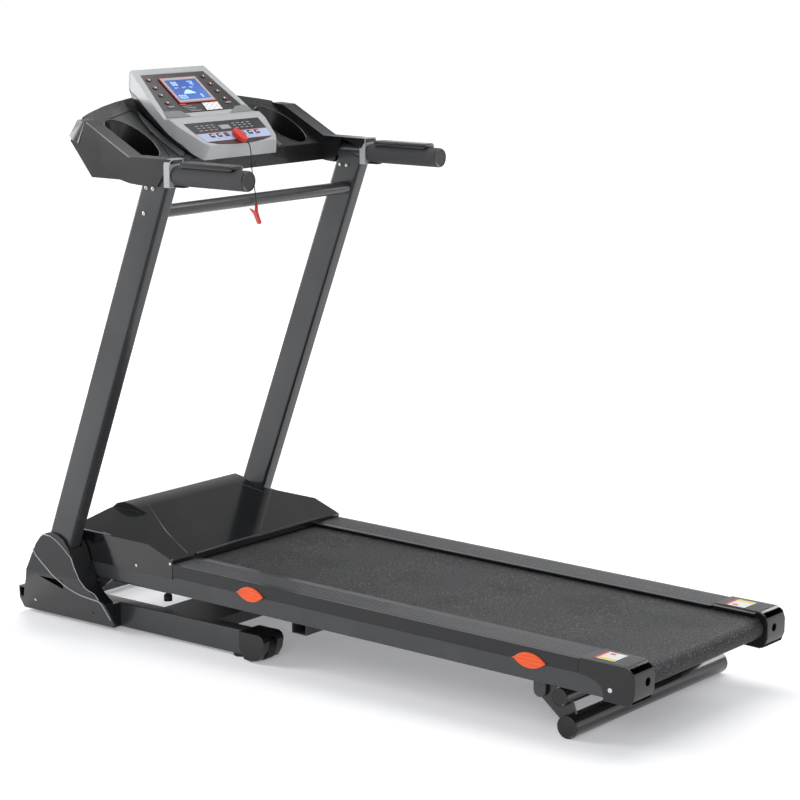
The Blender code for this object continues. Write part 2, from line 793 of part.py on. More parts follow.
def face_parts():
    plate = on_face(face_plate_outline(-0.0004), -0.0100, -0.0010)
    window = [(-0.060, -0.049), (0.0150, -0.049), (0.0150, 0.049), (-0.060, 0.049)]
    cut(plate, on_face(window, -0.0060, 0.02))
    finish(put(plate, "console_faceplate"), GLOSS)
    inner = 0.0004
    lens = [(-0.060 + inner, -0.049 + inner), (0.0150 - inner, -0.049 + inner)]
    lens += [(0.0150 - inner, 0.049 - inner), (-0.060 + inner, 0.049 - inner)]
    finish(put(on_face(lens, -0.0057, -0.0012), "display"), GLASS)


def buttons():
    for number, y in enumerate(BUTTON_YS, 1):
        axis = empty(f"console_button_{number}_axis", (0, 0, 0), DATUM)
        axis.matrix_basis = face_frame(BUTTON_X, y, CONSOLE_KEYPAD_SLOPE, keypad_z)
        half = BUTTON_SIZE / 2
        key = block((-half, -half, -0.0090), (half, half, 0.0015))
        round_edges(key, 0.0012, 1)
        finish(put(key, f"console_button_{number}", axis), BLACK)


def safety_key():
    """The magnetic stop key, its cord and the clip that hangs from it."""
    axis = empty("safety_key_axis", (0, 0, 0), DATUM)
    axis.matrix_basis = face_frame(KEY_SLIDE_X, 0, CONSOLE_KEYPAD_SLOPE, keypad_z)
    stem = rod(0.0060, (0, 0, -0.0080), (0, 0, 0.0030), 20)
    knob = slab(ellipse(0.0020, 0, 0.0210, 0.0130, 24), (0.0010, 0.0110))
    round_edges(knob, 0.0030, 2)
    join(stem, knob)
    put(stem, "safety_key", axis)
    finish(stem, RED, 40)


def smooth_route(points, spacing):
    """Points read at an even spacing from a smooth curve through the route."""
    dense = []
    last = len(points) - 1
    for i in range(last):
        around = [Vector(points[max(0, min(last, i + k))]) for k in (-1, 0, 1, 2)]
        for j in range(16):
            dense.append(catmull_rom(around, j / 16))
    dense.append(Vector(points[-1]))
    length = sum((b - a).length for a, b in zip(dense, dense[1:]))
    count = max(2, round(length / spacing))
    picked, travelled, wanted = [dense[0]], 0.0, length / count
    for a, b in zip(dense, dense[1:]):
        step = (b - a).length
        while travelled + step >= wanted and len(picked) < count:
            picked.append(a.lerp(b, (wanted - travelled) / step))
            wanted += length / count
        travelled += step
    return picked + [dense[-1]]


def catmull_rom(p, t):
    """A point on the smooth curve between the two middle points of four."""
    return 0.5 * (
        2 * p[1]
        + (p[2] - p[0]) * t
        + (2 * p[0] - 5 * p[1] + 4 * p[2] - p[3]) * t**2
        + (3 * p[1] - p[0] - 3 * p[2] + p[3]) * t**3
    )


def key_cord():
    curve = bpy.data.curves.new("key_cord", "CURVE")
    curve.dimensions = "3D"
    curve.bevel_depth = CORD_RADIUS
    curve.bevel_resolution = 2
    curve.use_fill_caps = True
    points = smooth_route(CORD_ROUTE, 0.006)
    spline = curve.splines.new("POLY")
    spline.points.add(len(points) - 1)
    for point, place in zip(spline.points, points):
        point.co = (*place, 1.0)
    cord = bpy.data.objects.new("key_cord", curve)
    bpy.context.scene.collection.objects.link(cord)
    finish(put(cord, "key_cord"), BLACK)


def key_clip():
    """Two sprung jaws hinged near their upper third, hanging at a lean."""
    hinge = empty("clip_hinge_axis", (0, 0, 0), DATUM)
    turn = Matrix.Rotation(CLIP_LEAN, 4, "X") @ Matrix.Rotation(pi / 2, 4, "Z")
    hinge.matrix_basis = Matrix.Translation((CLIP_X, CLIP_Y, CLIP_HINGE_Z)) @ turn
    for word, side in (("fixed", 1), ("moving", -1)):
        outline = [(side * 0.0006, -0.0280), (side * 0.0040, -0.0260), (side * 0.0050, 0.0)]
        outline += [(side * 0.0120, 0.0180), (side * 0.0098, 0.0180), (side * 0.0006, 0.0030)]
        jaw = prism(outline[::side], (-0.0040, 0.0040))
        finish(put(jaw, f"clip_jaw_{word}", hinge), RED)


# Deck, in its own tilted frame with the fold pivot at the origin


def deck_frame():
    pivot = empty("deck_fold_axis", (PIVOT_X, 0, PIVOT_Z), DATUM)
    pivot.rotation_euler = (0, DECK_TILT, 0)
    return pivot


def deck_local(x, z):
    """World x and z as a place in the deck's tilted frame."""
    dx, dz = x - PIVOT_X, z - PIVOT_Z
    return dx * cos(DECK_TILT) - dz * sin(DECK_TILT), dx * sin(DECK_TILT) + dz * cos(DECK_TILT)


def deck_tubes(deck):
    leg_x, leg_z = deck_local(LEG_PIVOT_X, LEG_PIVOT_Z)
    for word, side in SIDES:
        tube = side_block(
            side,
            (DECK_TUBE_FRONT, DECK_TUBE_REAR),
            (DECK_TUBE_INNER_Y, DECK_TUBE_OUTER_Y),
            (DECK_TUBE_BOTTOM, DECK_TUBE_TOP),
        )
        round_edges(tube, 0.003)
        cut(
            tube,
            side_block(
                side,
                (DECK_TUBE_FRONT - 0.01, DECK_TUBE_REAR + 0.01),
                (DECK_TUBE_INNER_Y + STEEL_WALL, DECK_TUBE_OUTER_Y - STEEL_WALL),
                (DECK_TUBE_BOTTOM + STEEL_WALL, DECK_TUBE_TOP - STEEL_WALL),
            ),
        )
        ear = prism(
            hull(((0, 0, 0.020), (-0.028, 0.0135, 0.001), (0.045, 0.0135, 0.001)), 24),
            sorted((side * 0.2640, side * 0.2720)),
        )
        cut(ear, across(0.0084, 0, 0, (side * 0.25 - 0.03, side * 0.25 + 0.03), 32))
        join(tube, ear)
        lug_top = DECK_TUBE_BOTTOM + 0.0010
        outline = [(leg_x - 0.0145, lug_top)] + arc((leg_x, leg_z), 0.0145, 180, 360, 8)
        outline += [(leg_x + 0.0145, lug_top)]
        join(tube, prism(outline, sorted((side * 0.2640, side * 0.2700))))
        join(tube, across(0.0048, leg_x, leg_z, sorted((side * 0.2535, side * 0.2650)), 20))
        finish(put(tube, f"deck_side_tube_{word}", deck), PAINT)


def deck_cross(deck):
    """The lower cross tube with the open fork for the strut's rod end."""
    inner = DECK_TUBE_OUTER_Y - 0.008
    bar = block((0.575, -inner, -0.0120), (0.615, inner, DECK_TUBE_BOTTOM - GAP))
    hollow(bar, 1, STEEL_WALL)
    top_x, top_z = deck_local(STRUT_TOP_X, STRUT_TOP_Z)
    for side in (-1, 1):
        ear = prism(
            hull(((top_x, top_z, 0.010), (0.576, -0.010, 0.001), (0.600, -0.010, 0.001)), 16),
            sorted((side * 0.0125, side * 0.0165)),
        )
        join(bar, ear)
    finish(put(bar, "deck_cross_tube", deck), PAINT)


def deck_top(deck):
    half = DECK_TUBE_OUTER_Y - 0.0010
    board = block((BOARD_FRONT, -half, BOARD_BOTTOM), (BOARD_REAR, half, BOARD_TOP))
    finish(put(board, "deck_board", deck), BOARD)
    for word, side in SIDES:
        rail = side_block(
            side, (RAIL_FRONT, RAIL_REAR), (RAIL_INNER_Y, RAIL_OUTER_Y), (0.0763, RAIL_TOP)
        )
        skirt_low = DECK_TUBE_TOP + GAP
        join(
            rail,
            side_block(
                side, (RAIL_FRONT, RAIL_REAR), (0.2837, RAIL_OUTER_Y), (skirt_low, 0.0780)
            ),
        )
        join(
            rail,
            side_block(
                side, (RAIL_FRONT, RAIL_REAR), (0.2145, 0.2165), (BOARD_TOP + GAP, 0.0780)
            ),
        )
        round_edges(rail, 0.0012, 1, 60)
        finish(put(rail, f"side_rail_{word}", deck), BLACK)


def loop_outline(circles, grow):
    return hull([(x, z, radius + grow) for x, z, radius in circles], 40)


def belts(deck):
    run = ((FRONT_ROLLER, ROLLER_Z, ROLLER_RADIUS), (REAR_ROLLER, ROLLER_Z, ROLLER_RADIUS))
    belt = prism(loop_outline(run, GAP + BELT_THICKNESS), (-BELT_HALF_WIDTH, BELT_HALF_WIDTH))
    cut(belt, prism(loop_outline(run, GAP), (-0.3, 0.3)))
    finish(put(belt, "running_belt", deck), BELTING, 30)
    run = (
        (FRONT_ROLLER, ROLLER_Z, BIG_PULLEY_RADIUS),
        (MOTOR_X, MOTOR_Z, SMALL_PULLEY_RADIUS),
    )
    ys = (PULLEY_OUTER_Y + 0.0015, PULLEY_INNER_Y - 0.0015)
    drive = prism(loop_outline(run, GAP + 0.0025), ys)
    cut(drive, prism(loop_outline(run, GAP), (-0.3, 0.0)))
    finish(put(drive, "drive_belt", deck), RUBBER, 30)


def rollers(deck):
    drum_half = BELT_HALF_WIDTH + 0.0010
    stub = DECK_TUBE_INNER_Y - 0.0008
    for name, x in (("front_roller", FRONT_ROLLER), ("rear_roller", REAR_ROLLER)):
        axis = empty(f"{name}_axis", (x, 0, ROLLER_Z), deck)
        drum = across(ROLLER_RADIUS, 0, 0, (-drum_half, drum_half), 40)
        reach = stub if name == "front_roller" else CAP_INNER_Y + 0.0300
        join(drum, across(0.0075, 0, 0, (-reach, reach), 24))
        if name == "front_roller":
            join(drum, across(BIG_PULLEY_RADIUS, 0, 0, (PULLEY_OUTER_Y, PULLEY_INNER_Y), 40))
        finish(put(drum, name, axis), STEEL, 30)


def motor(deck):
    body = across(MOTOR_RADIUS, MOTOR_X, MOTOR_Z, (-0.190, -0.030), 32)
    foot = block((MOTOR_X - 0.010, -0.180, 0.0035), (MOTOR_X + 0.030, -0.040, MOTOR_Z - 0.025))
    join(body, foot)
    cut(body, across(0.0066, MOTOR_X, MOTOR_Z, (-0.2000, -0.0200), 24))
    finish(put(body, "motor", deck), BLACK, 30)
    axis = empty("motor_shaft_axis", (MOTOR_X, 0, MOTOR_Z), deck)
    shaft = across(0.0060, 0, 0, (PULLEY_OUTER_Y, -0.0080), 24)
    join(shaft, across(SMALL_PULLEY_RADIUS, 0, 0, (PULLEY_OUTER_Y, PULLEY_INNER_Y), 28))
    join(shaft, across(0.0420, 0, 0, (-0.0240, -0.0090), 36))
    finish(put(shaft, "motor_shaft", axis), STEEL, 30)
    board = block((-0.040, 0.050, 0.0040), (0.090, 0.190, 0.0420))
    for i in range(7):
        x = -0.030 + 0.018 * i
        cut(board, block((x, 0.04, 0.016), (x + 0.009, 0.20, 0.06)))
    finish(put(board, "motor_controller", deck), ALUMINIUM)
    pan = block((-0.0440, -0.2220, 0.0000), (0.2050, 0.2220, 0.0030))
    join(pan, block((-0.0440, -0.2550, 0.0000), (0.2050, 0.2550, 0.0030)))
    for x, high in ((-0.0440, 0.0300), (0.2020, 0.0180)):
        join(pan, block((x, -0.2200, 0.0000), (x + 0.0030, 0.2200, high)))
    finish(put(pan, "belly_pan", deck), BLACK)


def hood_outline(inset):
    """Side outline of the motor hood."""
    low = 0.0465 - (0.03 if inset else 0.0)
    outline = [(-0.0660 + inset, low), (-0.0660 + inset, 0.0500), (-0.0785 + inset, 0.0700)]
    outline += [(-0.0800 + inset, 0.0850), (-0.0730 + inset, 0.1080)]
    outline += [(-0.0600 + inset, 0.1260 - inset * 0.5), (-0.0440 + inset * 0.7, 0.1440 - inset)]
    outline += [(-0.0240 + inset * 0.4, 0.1580 - inset), (0.0, 0.1654 - inset)]
    outline += [(0.0260, 0.1618 - inset), (0.0450, 0.1548 - inset)]
    outline += [(HOOD_REAR - inset, 0.0880 - inset), (HOOD_REAR - inset, low)]
    return outline[::-1]


def hood(deck):
    shell = prism(hood_outline(0.0), (-HOOD_HALF_WIDTH, HOOD_HALF_WIDTH), "motor_hood")
    for side in (-1, 1):
        cut(shell, hood_shoulder(side, 0.0))
    inside = prism(hood_outline(PLASTIC_WALL), (-HOOD_HALF_WIDTH + 0.0020, HOOD_HALF_WIDTH - 0.0020))
    for side in (-1, 1):
        cut(inside, hood_shoulder(side, 0.0035))
    cut(shell, inside)
    cut(shell, block((0.20, -0.2843, 0.03), (0.26, 0.2843, 0.0762)))
    cut(shell, block((-0.0900, 0.1450, 0.0605), (-0.0650, 0.2010, 0.0860)))
    finish(put(shell, "motor_hood", deck), GLOSS, 30)


def hood_shoulder(side, inset):
    """The long chamfer between the hood's top and its cheek."""
    top = Vector((0.0, side * (0.2530 - inset), 0.1660 - inset))
    low = Vector((0.0, side * (0.2900 - inset), 0.1540 - inset))
    run = (low - top).normalized()
    out = Vector((0, side * abs(run.z), abs(run.y)))
    wedge = block((-0.25, -0.08, 0.0), (0.25, 0.08, 0.08))
    turn = Vector((0, 0, 1)).rotation_difference(out).to_matrix().to_4x4()
    wedge.matrix_world = Matrix.Translation((top + low) / 2) @ turn
    return wedge


def power_entry(deck):
    """Inlet socket and rocker switch in a panel at the hood's front."""
    panel = block((-0.0775, 0.1455, 0.0610), (-0.0690, 0.2005, 0.0855))
    cut(panel, block((-0.0900, 0.1500, 0.0640), (-0.0730, 0.1750, 0.0825)))
    cut(panel, block((-0.0900, 0.1800, 0.0631), (-0.0704, 0.1965, 0.0835)))
    finish(put(panel, "power_inlet", deck), BLACK)
    axis = empty("power_switch_axis", (SWITCH_X, 0, SWITCH_Z), deck)
    outline = [(0.0005, -0.0085), (0.0005, 0.0085), (-0.0065, 0.0085), (-0.0035, 0.0)]
    outline += [(-0.0050, -0.0085)]
    rocker = prism(outline, (0.1806, 0.1959))
    finish(put(rocker, "power_switch", axis), RED)


def rear_caps(deck):
    for word, side in SIDES:
        outline = [(CAP_FRONT, 0.0830), (CAP_FRONT, 0.0080), (CAP_REAR - 0.0200, 0.0050)]
        outline += [(CAP_REAR - 0.0070, 0.0100), (CAP_REAR, 0.0300), (CAP_REAR, 0.0600)]
        outline += [(CAP_REAR - 0.0060, 0.0760), (CAP_REAR - 0.0200, 0.0835)]
        cap = prism(outline, sorted((side * CAP_INNER_Y, side * CAP_OUTER_Y)))
        round_edges(cap, 0.0030, 2)
        join(
            cap,
            side_block(
                side, (CAP_FRONT + 0.003, 1.4150), (0.2010, CAP_INNER_Y + 0.005), (0.0775, 0.0815)
            ),
        )
        cut(
            cap,
            side_block(
                side, (1.3000, CAP_REAR - 0.0045), (CAP_INNER_Y + 0.0025, 0.2842), (0.0105, 0.0803)
            ),
        )
        lower = [(1.3000, 0.0525), (1.3300, 0.0495), (1.3520, 0.0440), (1.3650, 0.0340)]
        lower += [(1.3700, 0.0210), (1.3725, -0.0200), (1.3000, -0.0200)]
        cut(cap, prism(lower, sorted((side * 0.2540, side * 0.3000))))
        cut(cap, side_block(side, (1.30, 1.374), (0.205, 0.27), (0.0505, 0.0725)))
        cut(cap, across(0.0090, REAR_ROLLER, ROLLER_Z, sorted((side * 0.20, side * 0.25)), 24))
        hole = (CAP_REAR - 0.02, side * 0.2400, 0.0490)
        cut(cap, rod(0.0090, hole, (CAP_REAR + 0.02, *hole[1:]), 20))
        finish(put(cap, f"rear_cap_{word}", deck), BLACK, 30)


def incline_leg(deck):
    foot = across(FOOT_TUBE_RADIUS, FOOT_TUBE_X, FOOT_TUBE_RADIUS, (-LEG_HALF_WIDTH, LEG_HALF_WIDTH), 28)
    join(foot, across(STOP_TUBE_RADIUS, STOP_TUBE_X, STOP_TUBE_Z, (-LEG_HALF_WIDTH, LEG_HALF_WIDTH), 28))
    circles = (
        (LEG_PIVOT_X, LEG_PIVOT_Z, 0.0130),
        (FOOT_TUBE_X, FOOT_TUBE_RADIUS, 0.0140),
        (STOP_TUBE_X, STOP_TUBE_Z, 0.0120),
    )
    for side in (-1, 1):
        ys = sorted((side * 0.2555, side * 0.2615))
        join(foot, prism(hull(circles, 20), ys))
        cut(foot, across(0.0053, LEG_PIVOT_X, LEG_PIVOT_Z, sorted((side * 0.25, side * 0.27)), 24))
    for x, z, radius in (
        (FOOT_TUBE_X, FOOT_TUBE_RADIUS, FOOT_TUBE_RADIUS - STEEL_WALL),
        (STOP_TUBE_X, STOP_TUBE_Z, STOP_TUBE_RADIUS - STEEL_WALL),
    ):
        cut(foot, across(radius, x, z, (-0.30, 0.30), 28))
    put(foot, "incline_leg")
    finish(foot, PAINT, 30)


def strut():
    """Gas strut: a cylinder hinged on the base and a rod that slides out of it."""
    base = Vector((STRUT_BASE_X, 0, STRUT_BASE_Z))
    top = Vector((STRUT_TOP_X, 0, STRUT_TOP_Z))
    run = (top - base).normalized()
    barrel = rod(0.0110, base + run * 0.006, base + run * 0.245, 20)
    eye = across(0.0095, base.x, base.z, (-0.0100, 0.0100), 20)
    join(barrel, eye)
    cut(barrel, across(0.0045, base.x, base.z, (-0.02, 0.02), 20))
    cut(barrel, rod(0.0045, base + run * 0.030, base + run * 0.26, 16))
    finish(put(barrel, "strut_cylinder"), BLACK, 40)
    piston = rod(0.0040, base + run * 0.040, top - run * 0.004, 16)
    join(piston, across(0.0080, top.x, top.z, (-0.0100, 0.0100), 20))
    finish(put(piston, "strut_rod"), CHROME, 40)


def build():
    base_frame()
    end_caps_and_wheels()
    pivot_brackets()
    base_covers()
    uprights()
    handlebar_grips()
    dash()
    console()
    face_parts()
    buttons()
    safety_key()
    key_cord()
    key_clip()
    deck = deck_frame()
    deck_tubes(deck)
    deck_cross(deck)
    deck_top(deck)
    belts(deck)
    rollers(deck)
    motor(deck)
    hood(deck)
    power_entry(deck)
    rear_caps(deck)
    incline_leg(deck)
    strut()


build()
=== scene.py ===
"""A folding home treadmill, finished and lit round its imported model.

Every length is in metres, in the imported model's own frame: X runs from the motor end to the
step-on end, and the user's left hand is on the negative side of Y.
"""

import logging
from collections.abc import Callable, Iterable, Sequence
from dataclasses import dataclass, field
from enum import Enum
from functools import cache
from math import atan, cos, pi, radians, sin

import bmesh
import bpy
from mathutils import Matrix, Vector


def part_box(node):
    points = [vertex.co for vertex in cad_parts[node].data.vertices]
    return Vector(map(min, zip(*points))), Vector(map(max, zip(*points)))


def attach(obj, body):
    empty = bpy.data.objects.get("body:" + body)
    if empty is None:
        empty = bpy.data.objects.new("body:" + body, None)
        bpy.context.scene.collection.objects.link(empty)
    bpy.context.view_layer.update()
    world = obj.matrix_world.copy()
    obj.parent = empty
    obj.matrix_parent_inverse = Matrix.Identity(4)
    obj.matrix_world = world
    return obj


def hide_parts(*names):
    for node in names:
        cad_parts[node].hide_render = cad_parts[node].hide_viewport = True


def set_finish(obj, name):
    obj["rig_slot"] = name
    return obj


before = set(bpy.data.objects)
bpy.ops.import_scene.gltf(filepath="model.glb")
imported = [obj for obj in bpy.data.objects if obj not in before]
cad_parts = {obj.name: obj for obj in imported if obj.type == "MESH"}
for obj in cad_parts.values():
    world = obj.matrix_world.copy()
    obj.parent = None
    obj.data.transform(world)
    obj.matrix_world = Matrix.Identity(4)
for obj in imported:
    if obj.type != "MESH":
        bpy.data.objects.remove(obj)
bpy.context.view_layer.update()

LOG = logging.getLogger("treadmill")
SIDES = (("left", -1), ("right", 1))
SQUARE_ON = 0.9  # how far along an axis a face's normal has to point for the face to count as facing it

Point = Sequence[float]
Flat = tuple[float, float]
Colour = tuple[float, float, float]
Value = object  # a number, a vector, a colour or a Wire


# ---------------------------------------------------------------- shader maths


@dataclass(frozen=True)
class Wire:
    """One output socket, whose sums are written as Python expressions."""

    shader: "Shader"
    socket: bpy.types.NodeSocket

    def sum(self, operation: str, *values: Value) -> "Wire":
        """Add a Math node.

        Args:
            operation: The Math node's operation.
            values: Its inputs, in order.

        Returns:
            The node's output.
        """
        return self.shader.node("ShaderNodeMath", {"operation": operation}, dict(enumerate(values)))

    def __add__(self, other: Value) -> "Wire":
        """self + other."""
        return self.sum("ADD", self, other)

    def __radd__(self, other: Value) -> "Wire":
        """other + self."""
        return self.sum("ADD", other, self)

    def __sub__(self, other: Value) -> "Wire":
        """self - other."""
        return self.sum("SUBTRACT", self, other)

    def __mul__(self, other: Value) -> "Wire":
        """self * other."""
        return self.sum("MULTIPLY", self, other)

    def __rmul__(self, other: Value) -> "Wire":
        """other * self."""
        return self.sum("MULTIPLY", other, self)

    def __pow__(self, other: Value) -> "Wire":
        """self ** other."""
        return self.sum("POWER", self, other)

    def between(self, low: float, high: float) -> "Wire":
        """A smooth step from 0 at low to 1 at high.

        Args:
            low: Where the step starts.
            high: Where it ends.

        Returns:
            The step's output.
        """
        settings = {"interpolation_type": "SMOOTHSTEP"}
        values = {"Value": self, "From Min": low, "From Max": high}
        return self.shader.node("ShaderNodeMapRange", settings, values)


class Shader:
    """One material's node tree."""

    def __init__(self, name: str) -> None:
        """Start a material.

        Args:
            name: The material's name.
        """
        self.material = bpy.data.materials.new(name)
        self.material.use_nodes = True
        self.tree = self.material.node_tree
        self.surface = self.tree.nodes["Principled BSDF"]
        self.place = self.node("ShaderNodeTexCoord", output="Object")

    def node(
        self,
        kind: str,
        settings: dict[str, object] | None = None,
        values: dict[str | int, Value] | None = None,
        output: str | int = 0,
    ) -> Wire:
        """Add a node.

        Args:
            kind: The node's type.
            settings: Its settings, made before its inputs.
            values: A value or a wire for each input socket, by name or number.
            output: The output socket wanted.

        Returns:
            That output.
        """
        made = self.tree.nodes.new(kind)
        for name, setting in (settings or {}).items():
            setattr(made, name, setting)
        for key, value in (values or {}).items():
            self.feed(made.inputs[key], value)
        return Wire(self, made.outputs[output])

    def feed(self, socket: bpy.types.NodeSocket, value: Value) -> None:
        """Set a socket to a value, or link a wire to it."""
        if isinstance(value, Wire):
            self.tree.links.new(value.socket, socket)
        else:
            socket.default_value = value

    def surface_values(self, **values: Value) -> None:
        """Set the surface's sockets, with _ for each space in their names."""
        for name, value in values.items():
            self.feed(self.surface.inputs[name.replace("_", " ")], value)

    def noise(self, scale: float, detail: float = 2.0, stretch: Point = (1, 1, 1)) -> Wire:
        """Soft random patches.

        Args:
            scale: Patches for each metre.
            detail: How many finer layers lie on them.
            stretch: The pattern's scale along each axis.

        Returns:
            Their value, from 0 to 1.
        """
        placed = self.node("ShaderNodeMapping", values={"Vector": self.place, "Scale": stretch})
        values = {"Vector": placed, "Scale": scale, "Detail": detail}
        return self.node("ShaderNodeTexNoise", values=values)

    def cells(self, scale: float) -> Wire:
        """Round cells: the distance from each cell's middle, for scale cells in each metre."""
        return self.node("ShaderNodeTexVoronoi", values={"Vector": self.place, "Scale": scale})

    def bands(self, axis: str, scale: float) -> Wire:
        """Even waves across an axis, scale of them in each third of a metre."""
        settings = {"wave_type": "BANDS", "bands_direction": axis, "wave_profile": "SIN"}
        return self.node("ShaderNodeTexWave", settings, {"Vector": self.place, "Scale": scale})

    def along(self, axis: str) -> Wire:
        """The place along one axis."""
        return self.node("ShaderNodeSeparateXYZ", values={0: self.place}, output=axis)

    def blend(self, share: Value, first: Colour, second: Colour | Wire) -> Wire:
        """Mix two colours.

        Args:
            share: How much of the second shows.
            first: The first colour.
            second: The second colour.

        Returns:
            The mixed colour.
        """
        values = {0: share, 6: first if isinstance(first, Wire) else (*first, 1.0)}
        values[7] = second if isinstance(second, Wire) else (*second, 1.0)
        return self.node("ShaderNodeMix", {"data_type": "RGBA"}, values, output=2)

    def bump(self, height: Wire, depth: float) -> None:
        """Press a height pattern, from 0 to 1, into the surface by a depth in metres."""
        values = {"Height": height, "Distance": depth, "Strength": 1.0}
        self.surface_values(Normal=self.node("ShaderNodeBump", values=values))


class Grain(Enum):
    """The fine relief of a surface."""

    POLISHED = "polished"
    ORANGE_PEEL = "orange peel"
    MOULD_TEXTURE = "mould texture"
    BRUSHED = "brushed"
    FOAM = "foam"
    RIBBED = "ribbed"
    WOVEN = "woven"
    DOTTED = "dotted"


@dataclass(frozen=True)
class Finish:
    """A surface finish: its colours, its gloss and its grain."""

    name: str
    colour: Colour
    rubbed: Colour
    roughness: float
    spread: float = 0.08
    metallic: float = 0.0
    coat: float = 0.0
    specular: float = 0.34
    grain: Grain = Grain.MOULD_TEXTURE
    scale: float = 1400.0
    depth: float = 0.00003
    glow: float = 0.0

    def relief(self, shader: Shader) -> Wire:
        """The grain's height.

        Args:
            shader: The material being made.

        Returns:
            The height, from 0 to 1.
        """
        match self.grain:
            case Grain.FOAM | Grain.DOTTED:
                return shader.cells(self.scale).between(0.15, 0.55)
            case Grain.BRUSHED:
                return shader.noise(self.scale, 1.0, (0.04, 1.0, 1.0))
            case Grain.RIBBED:
                return shader.bands("Y", self.scale)
            case Grain.WOVEN:
                return shader.bands("X", self.scale) * shader.bands("Y", self.scale)
            case Grain.ORANGE_PEEL | Grain.POLISHED:
                return shader.noise(self.scale, 1.0)
            case _:
                return shader.noise(self.scale, 3.0)

    def dress(self, shader: Shader) -> None:
        """Set the colour, gloss and relief.

        Args:
            shader: The material being made.
        """
        patches = shader.noise(7.0, 4.0).between(0.42, 0.72)
        dust = shader.noise(240.0, 3.0).between(0.50, 0.78)
        wear = patches * 0.55 + dust * 0.35
        relief = self.relief(shader)
        gloss = self.roughness + self.spread * (patches - 0.35) + 0.5 * self.spread * (relief - 0.5)
        colour = shader.blend(wear, self.colour, self.rubbed)
        shader.surface_values(Base_Color=colour, Roughness=gloss, Metallic=self.metallic)
        shader.surface_values(Coat_Weight=self.coat, Coat_Roughness=0.08)
        shader.surface_values(Specular_IOR_Level=self.specular)
        if self.glow:
            shader.surface_values(Emission_Color=colour, Emission_Strength=self.glow)
        shader.bump(relief, self.depth)

    @cache
    def material(self) -> bpy.types.Material:
        """Make this finish's material once."""
        shader = Shader(self.name)
        self.dress(shader)
        return shader.material


@dataclass(frozen=True)
class BeltFinish(Finish):
    """Walking belt: dark woven PVC with a pale grit."""

    grit: Colour = (0.135, 0.137, 0.145)

    def dress(self, shader: Shader) -> None:
        """Add the grit to the belt's own colour.

        Args:
            shader: The material being made.
        """
        super().dress(shader)
        speckle = shader.noise(260.0, 3.0).between(0.52, 0.68)
        drift = shader.noise(3.0, 2.0, (0.4, 1.6, 1.0)).between(0.3, 0.75)
        base = shader.blend(drift * 0.5, self.colour, self.rubbed)
        shader.surface_values(Base_Color=shader.blend(speckle * 0.62, base, self.grit))
        weave = shader.bands("X", 150.0) * shader.bands("Y", 150.0)
        shader.bump(speckle * 0.8 + weave * 0.5, self.depth)


@dataclass(frozen=True)
class FloorFinish(Finish):
    """Studio floor with painted light: a glow of its own, low round the object so that the cast shadow shows,
    and as bright as the room's walls further out.
    """

    low_glow_radius: float = 1.3
    bright: float = 4.6
    near: Colour = (0.24, 0.242, 0.25)
    far: Colour = (0.80, 0.80, 0.80)

    def dress(self, shader: Shader) -> None:
        """Let the floor's own light rise with the distance from the object.

        Args:
            shader: The material being made.
        """
        super().dress(shader)
        distance = (shader.along("X") ** 2 + shader.along("Y") ** 2) ** 0.5
        share = distance.between(self.low_glow_radius, self.bright)
        # Painted light: the floor's glow rises from a dim one near the object to a bright one far out.
        shader.surface_values(Emission_Color=shader.blend(share, self.near, self.far), Emission_Strength=1.0)


@dataclass(frozen=True)
class LaminateFinish(Finish):
    """Deck board: a brown fibre core between dark faces."""

    def dress(self, shader: Shader) -> None:
        """Draw the fibre along the board.

        Args:
            shader: The material being made.
        """
        super().dress(shader)
        fibre = shader.noise(90.0, 5.0, (0.15, 1.0, 6.0)).between(0.3, 0.7)
        shader.surface_values(Base_Color=shader.blend(fibre, self.colour, self.rubbed))


@dataclass(frozen=True)
class DisplayFinish(Finish):
    """Lit display: a deep blue field that is paler towards one end."""

    pale: Colour = (0.10, 0.22, 0.62)

    def dress(self, shader: Shader) -> None:
        """Fade the backlight across the field.

        Args:
            shader: The material being made.
        """
        super().dress(shader)
        fade = (shader.along("X") * 9.0 + shader.along("Y") * 4.0 + 5.2).between(-0.2, 0.9)
        pixels = shader.bands("Y", 210.0) * 0.25
        colour = shader.blend(fade * 0.55 + pixels, self.colour, self.pale)
        shader.surface_values(Base_Color=colour, Emission_Color=colour, Emission_Strength=self.glow)


